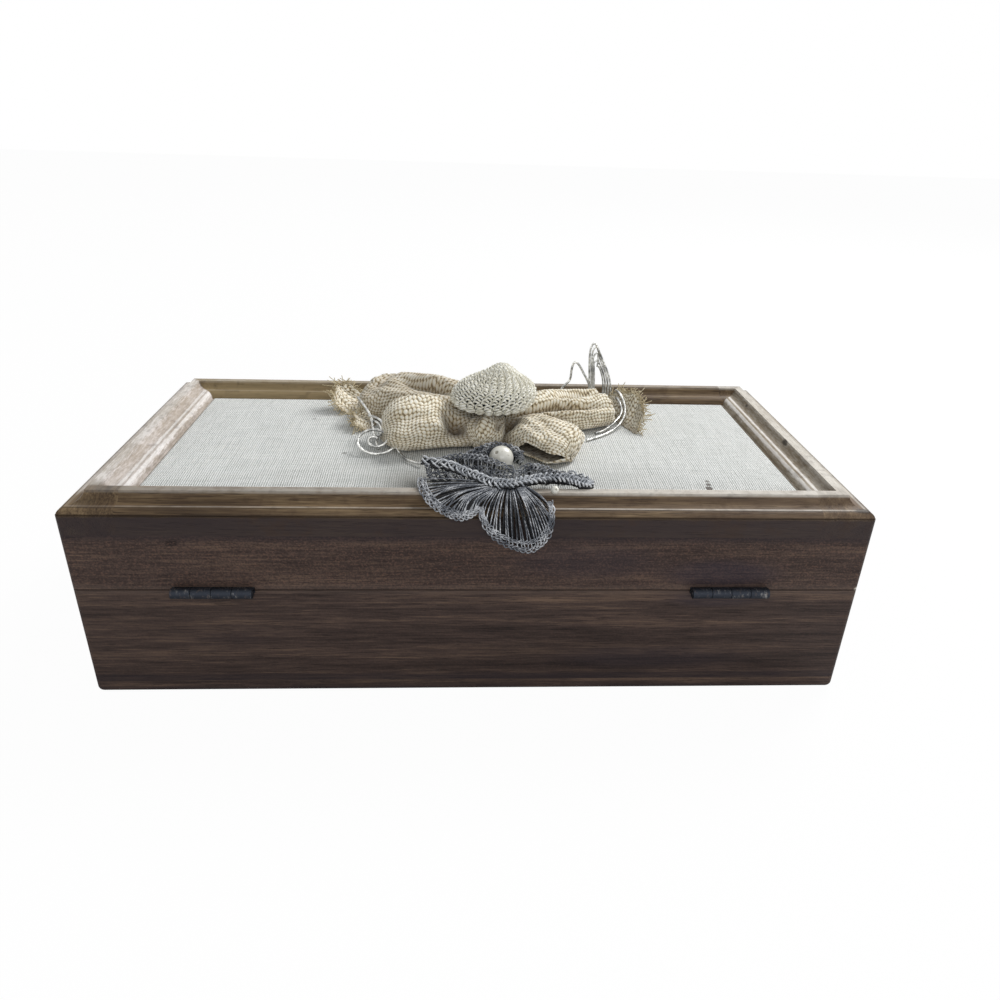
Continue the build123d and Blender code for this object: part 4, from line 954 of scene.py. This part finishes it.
# Wires: drawn wire, round and a little dented, pushed into the linen or glued under the petals. A
# spiral lies tilted on the left, loops stand behind the right petal, and a bow comes down in front.
silver = Finish("bright_wire", Metallic=1.0)
dulled = silver.noise(300, 4.0, 0.6)
silver_colour = silver.blend(silver.ease(dulled, 0.35, 0.7), paint(226, 226, 222), paint(120, 121, 120))
silver_finish = silver.wear(silver.noise(900, 2.0, 0.5) * 0.0005, Base_Color=silver_colour,
                            Roughness=0.24 + dulled * 0.25)
turn = np.linspace(0.3, 2 * np.pi * 2.15, 16)
spiral_radius = 0.6 + 0.62 * turn
curl = np.stack([-35.6 + (0.6 + 0.68 * turn) * np.cos(turn), -14 + 0.75 * spiral_radius * np.sin(turn),
                 73.4 + 0.52 * spiral_radius * np.sin(turn)], -1)
for name, node, gauge, paths in (
        ("spiral_wire", "wire_spiral", 0.46, [
            curl.tolist() + [(-28, -17.5, 69.6), (-23.5, -24, 69.6), (-18.5, -27.5, 70.2)],
            [(-45.5, 19.5, 77.6), (-44, 14, 78.5), (-39, 4, 77), (-37.4, -4, 75.6), (-36.5, -10, 73.6),
             (-34.4, -15.5, 70.4)],
            [(-39.5, 2, 76.6), (-37, -3, 78.2), (-33.6, -5.6, 77.8), (-32.6, -8.6, 75.6), (-34, -10.6, 73.4),
             (-36.6, -8.6, 72.4)],
            [(-38.6, 0.6, 75.4), (-35.6, -4.4, 77), (-33, -7.6, 76), (-33.8, -10.4, 74)]]),
        ("small_loop_wire", "small_wire_loop", 0.46, [
            [(35.7, 34, 69), (35.9, 34, 74), (36.4, 34, 78.5), (40.4, 34, 80.6), (40.2, 34, 85),
             (41, 34, 89.8), (43.4, 34, 88.2), (45.5, 34, 84), (48.6, 34.6, 79.6), (49.5, 34.8, 74),
             (49.7, 34.8, 69)]]),
        ("tall_loop_wire", "tall_wire_loops", 0.36, [
            [(48.6 + a, 34.2 + b, 69), (48.4 + a, 34 + b, 78), (47.4 + a, 34 + b, 88),
             (47.2 + a, 34 + b, 95.5 - c), (49.2 + a, 34 + b, 98 - c), (51.4, 34 + b, 93 - c),
             (54 - a, 34 + b, 88), (57 - a, 34 + b, 82), (57.8 - a, 34 + b, 75), (57.2 - a, 34.5 + b, 69)]
            for a, b, c in ((0, 0, 0), (1.1, 0.5, 1.6), (0.6, 2.6, 0.8), (1.9, 1.9, 4.5), (2.6, 3.4, 8))]),
        ("bow_wire", "wire_bow", 0.46, [
            [(58.6, 33.5, 69.2), (58.6, 33, 76), (58.6, 31, 79.6), (61, 25, 77), (61.6, 17, 73),
             (55.5, 7.5, 69.4), (48, 1, 69.5), (42.6, -2.6, 69.4)],
            [(59.8, 31.5, 69.2), (58.2, 30, 77.5), (60, 24, 75.5), (60, 18, 72.5), (56, 12.6, 71.5),
             (54, 9, 71), (50.4, 6.6, 69.6), (47, 4.6, 69.4)]])):
    wires = [tubes(spline(path, 150)[None], gauge, 10, (0.05, 0.93, 0.36)) for path in paths]
    dress(bundle(name, wires), node, silver_finish)


# Beads: a pearl of coated glass with its drill hole up and to the left, set between the crochet
# petals, and a small pale bead on the rail. Both are glued down.
def bead(name, node, centre, radius, hole, towards):
    """Drilled ball: its section runs up the hole and round, r = radius sin a, h = radius cos a, with a
    from the hole's edge to the far pole, and is turned about the line of the hole."""
    columns = 48
    edge = math.asin(hole / radius)
    sweep = np.linspace(edge, math.pi - 0.02, 40)
    across = np.concatenate([[hole * 0.02, hole * 0.9, hole], radius * np.sin(sweep)])
    along = np.concatenate([[radius * 0.3, radius * 0.3, radius * math.cos(edge) - hole * 0.4],
                            radius * np.cos(sweep)])
    axis = unit(np.asarray(towards, float))
    side = unit(np.cross(axis, (0, 1, 0)))
    around = np.arange(columns) / columns * 2 * np.pi
    ring = np.cos(around)[:, None] * side + np.sin(around)[:, None] * np.cross(axis, side)
    points = np.asarray(centre, float) + across[:, None, None] * ring + along[:, None, None] * axis
    faces, _, _ = grid_faces(len(across), columns, True)
    far_ring = np.arange(columns)[::-1] + (len(across) - 1) * columns
    ends = [np.arange(columns).tolist(), far_ring.tolist()]
    dress(mesh_piece(name, points, faces[:, ::-1].tolist() + ends), node, pearl_coat)


pearl = Finish("pearl_coat", Coat_Roughness=0.08, Coat_Weight=0.5)
clouds = pearl.noise(180)
pits = pearl.ease(pearl.noise(1500, 2.0), 0.64, 0.72)
pearl_colour = pearl.blend(clouds, paint(196, 192, 176), paint(240, 238, 232))
pearl_colour = pearl.blend(pits * 0.4, pearl_colour, paint(150, 142, 124))
pearl_coat = pearl.wear(clouds * 0.0002, Base_Color=pearl_colour, Roughness=0.24 + clouds * 0.15)
bead("pearl_ball", "pearl_bead", (8.9, -28.2, linen_top + 4.25), 4.2, 0.6, (-0.45, -0.55, 0.72))
bead("small_ball", "small_bead", (24.4, -55.4, 72.8 + 1.2), 1.35, 0.3, (0.2, -0.8, 0.5))

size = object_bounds()
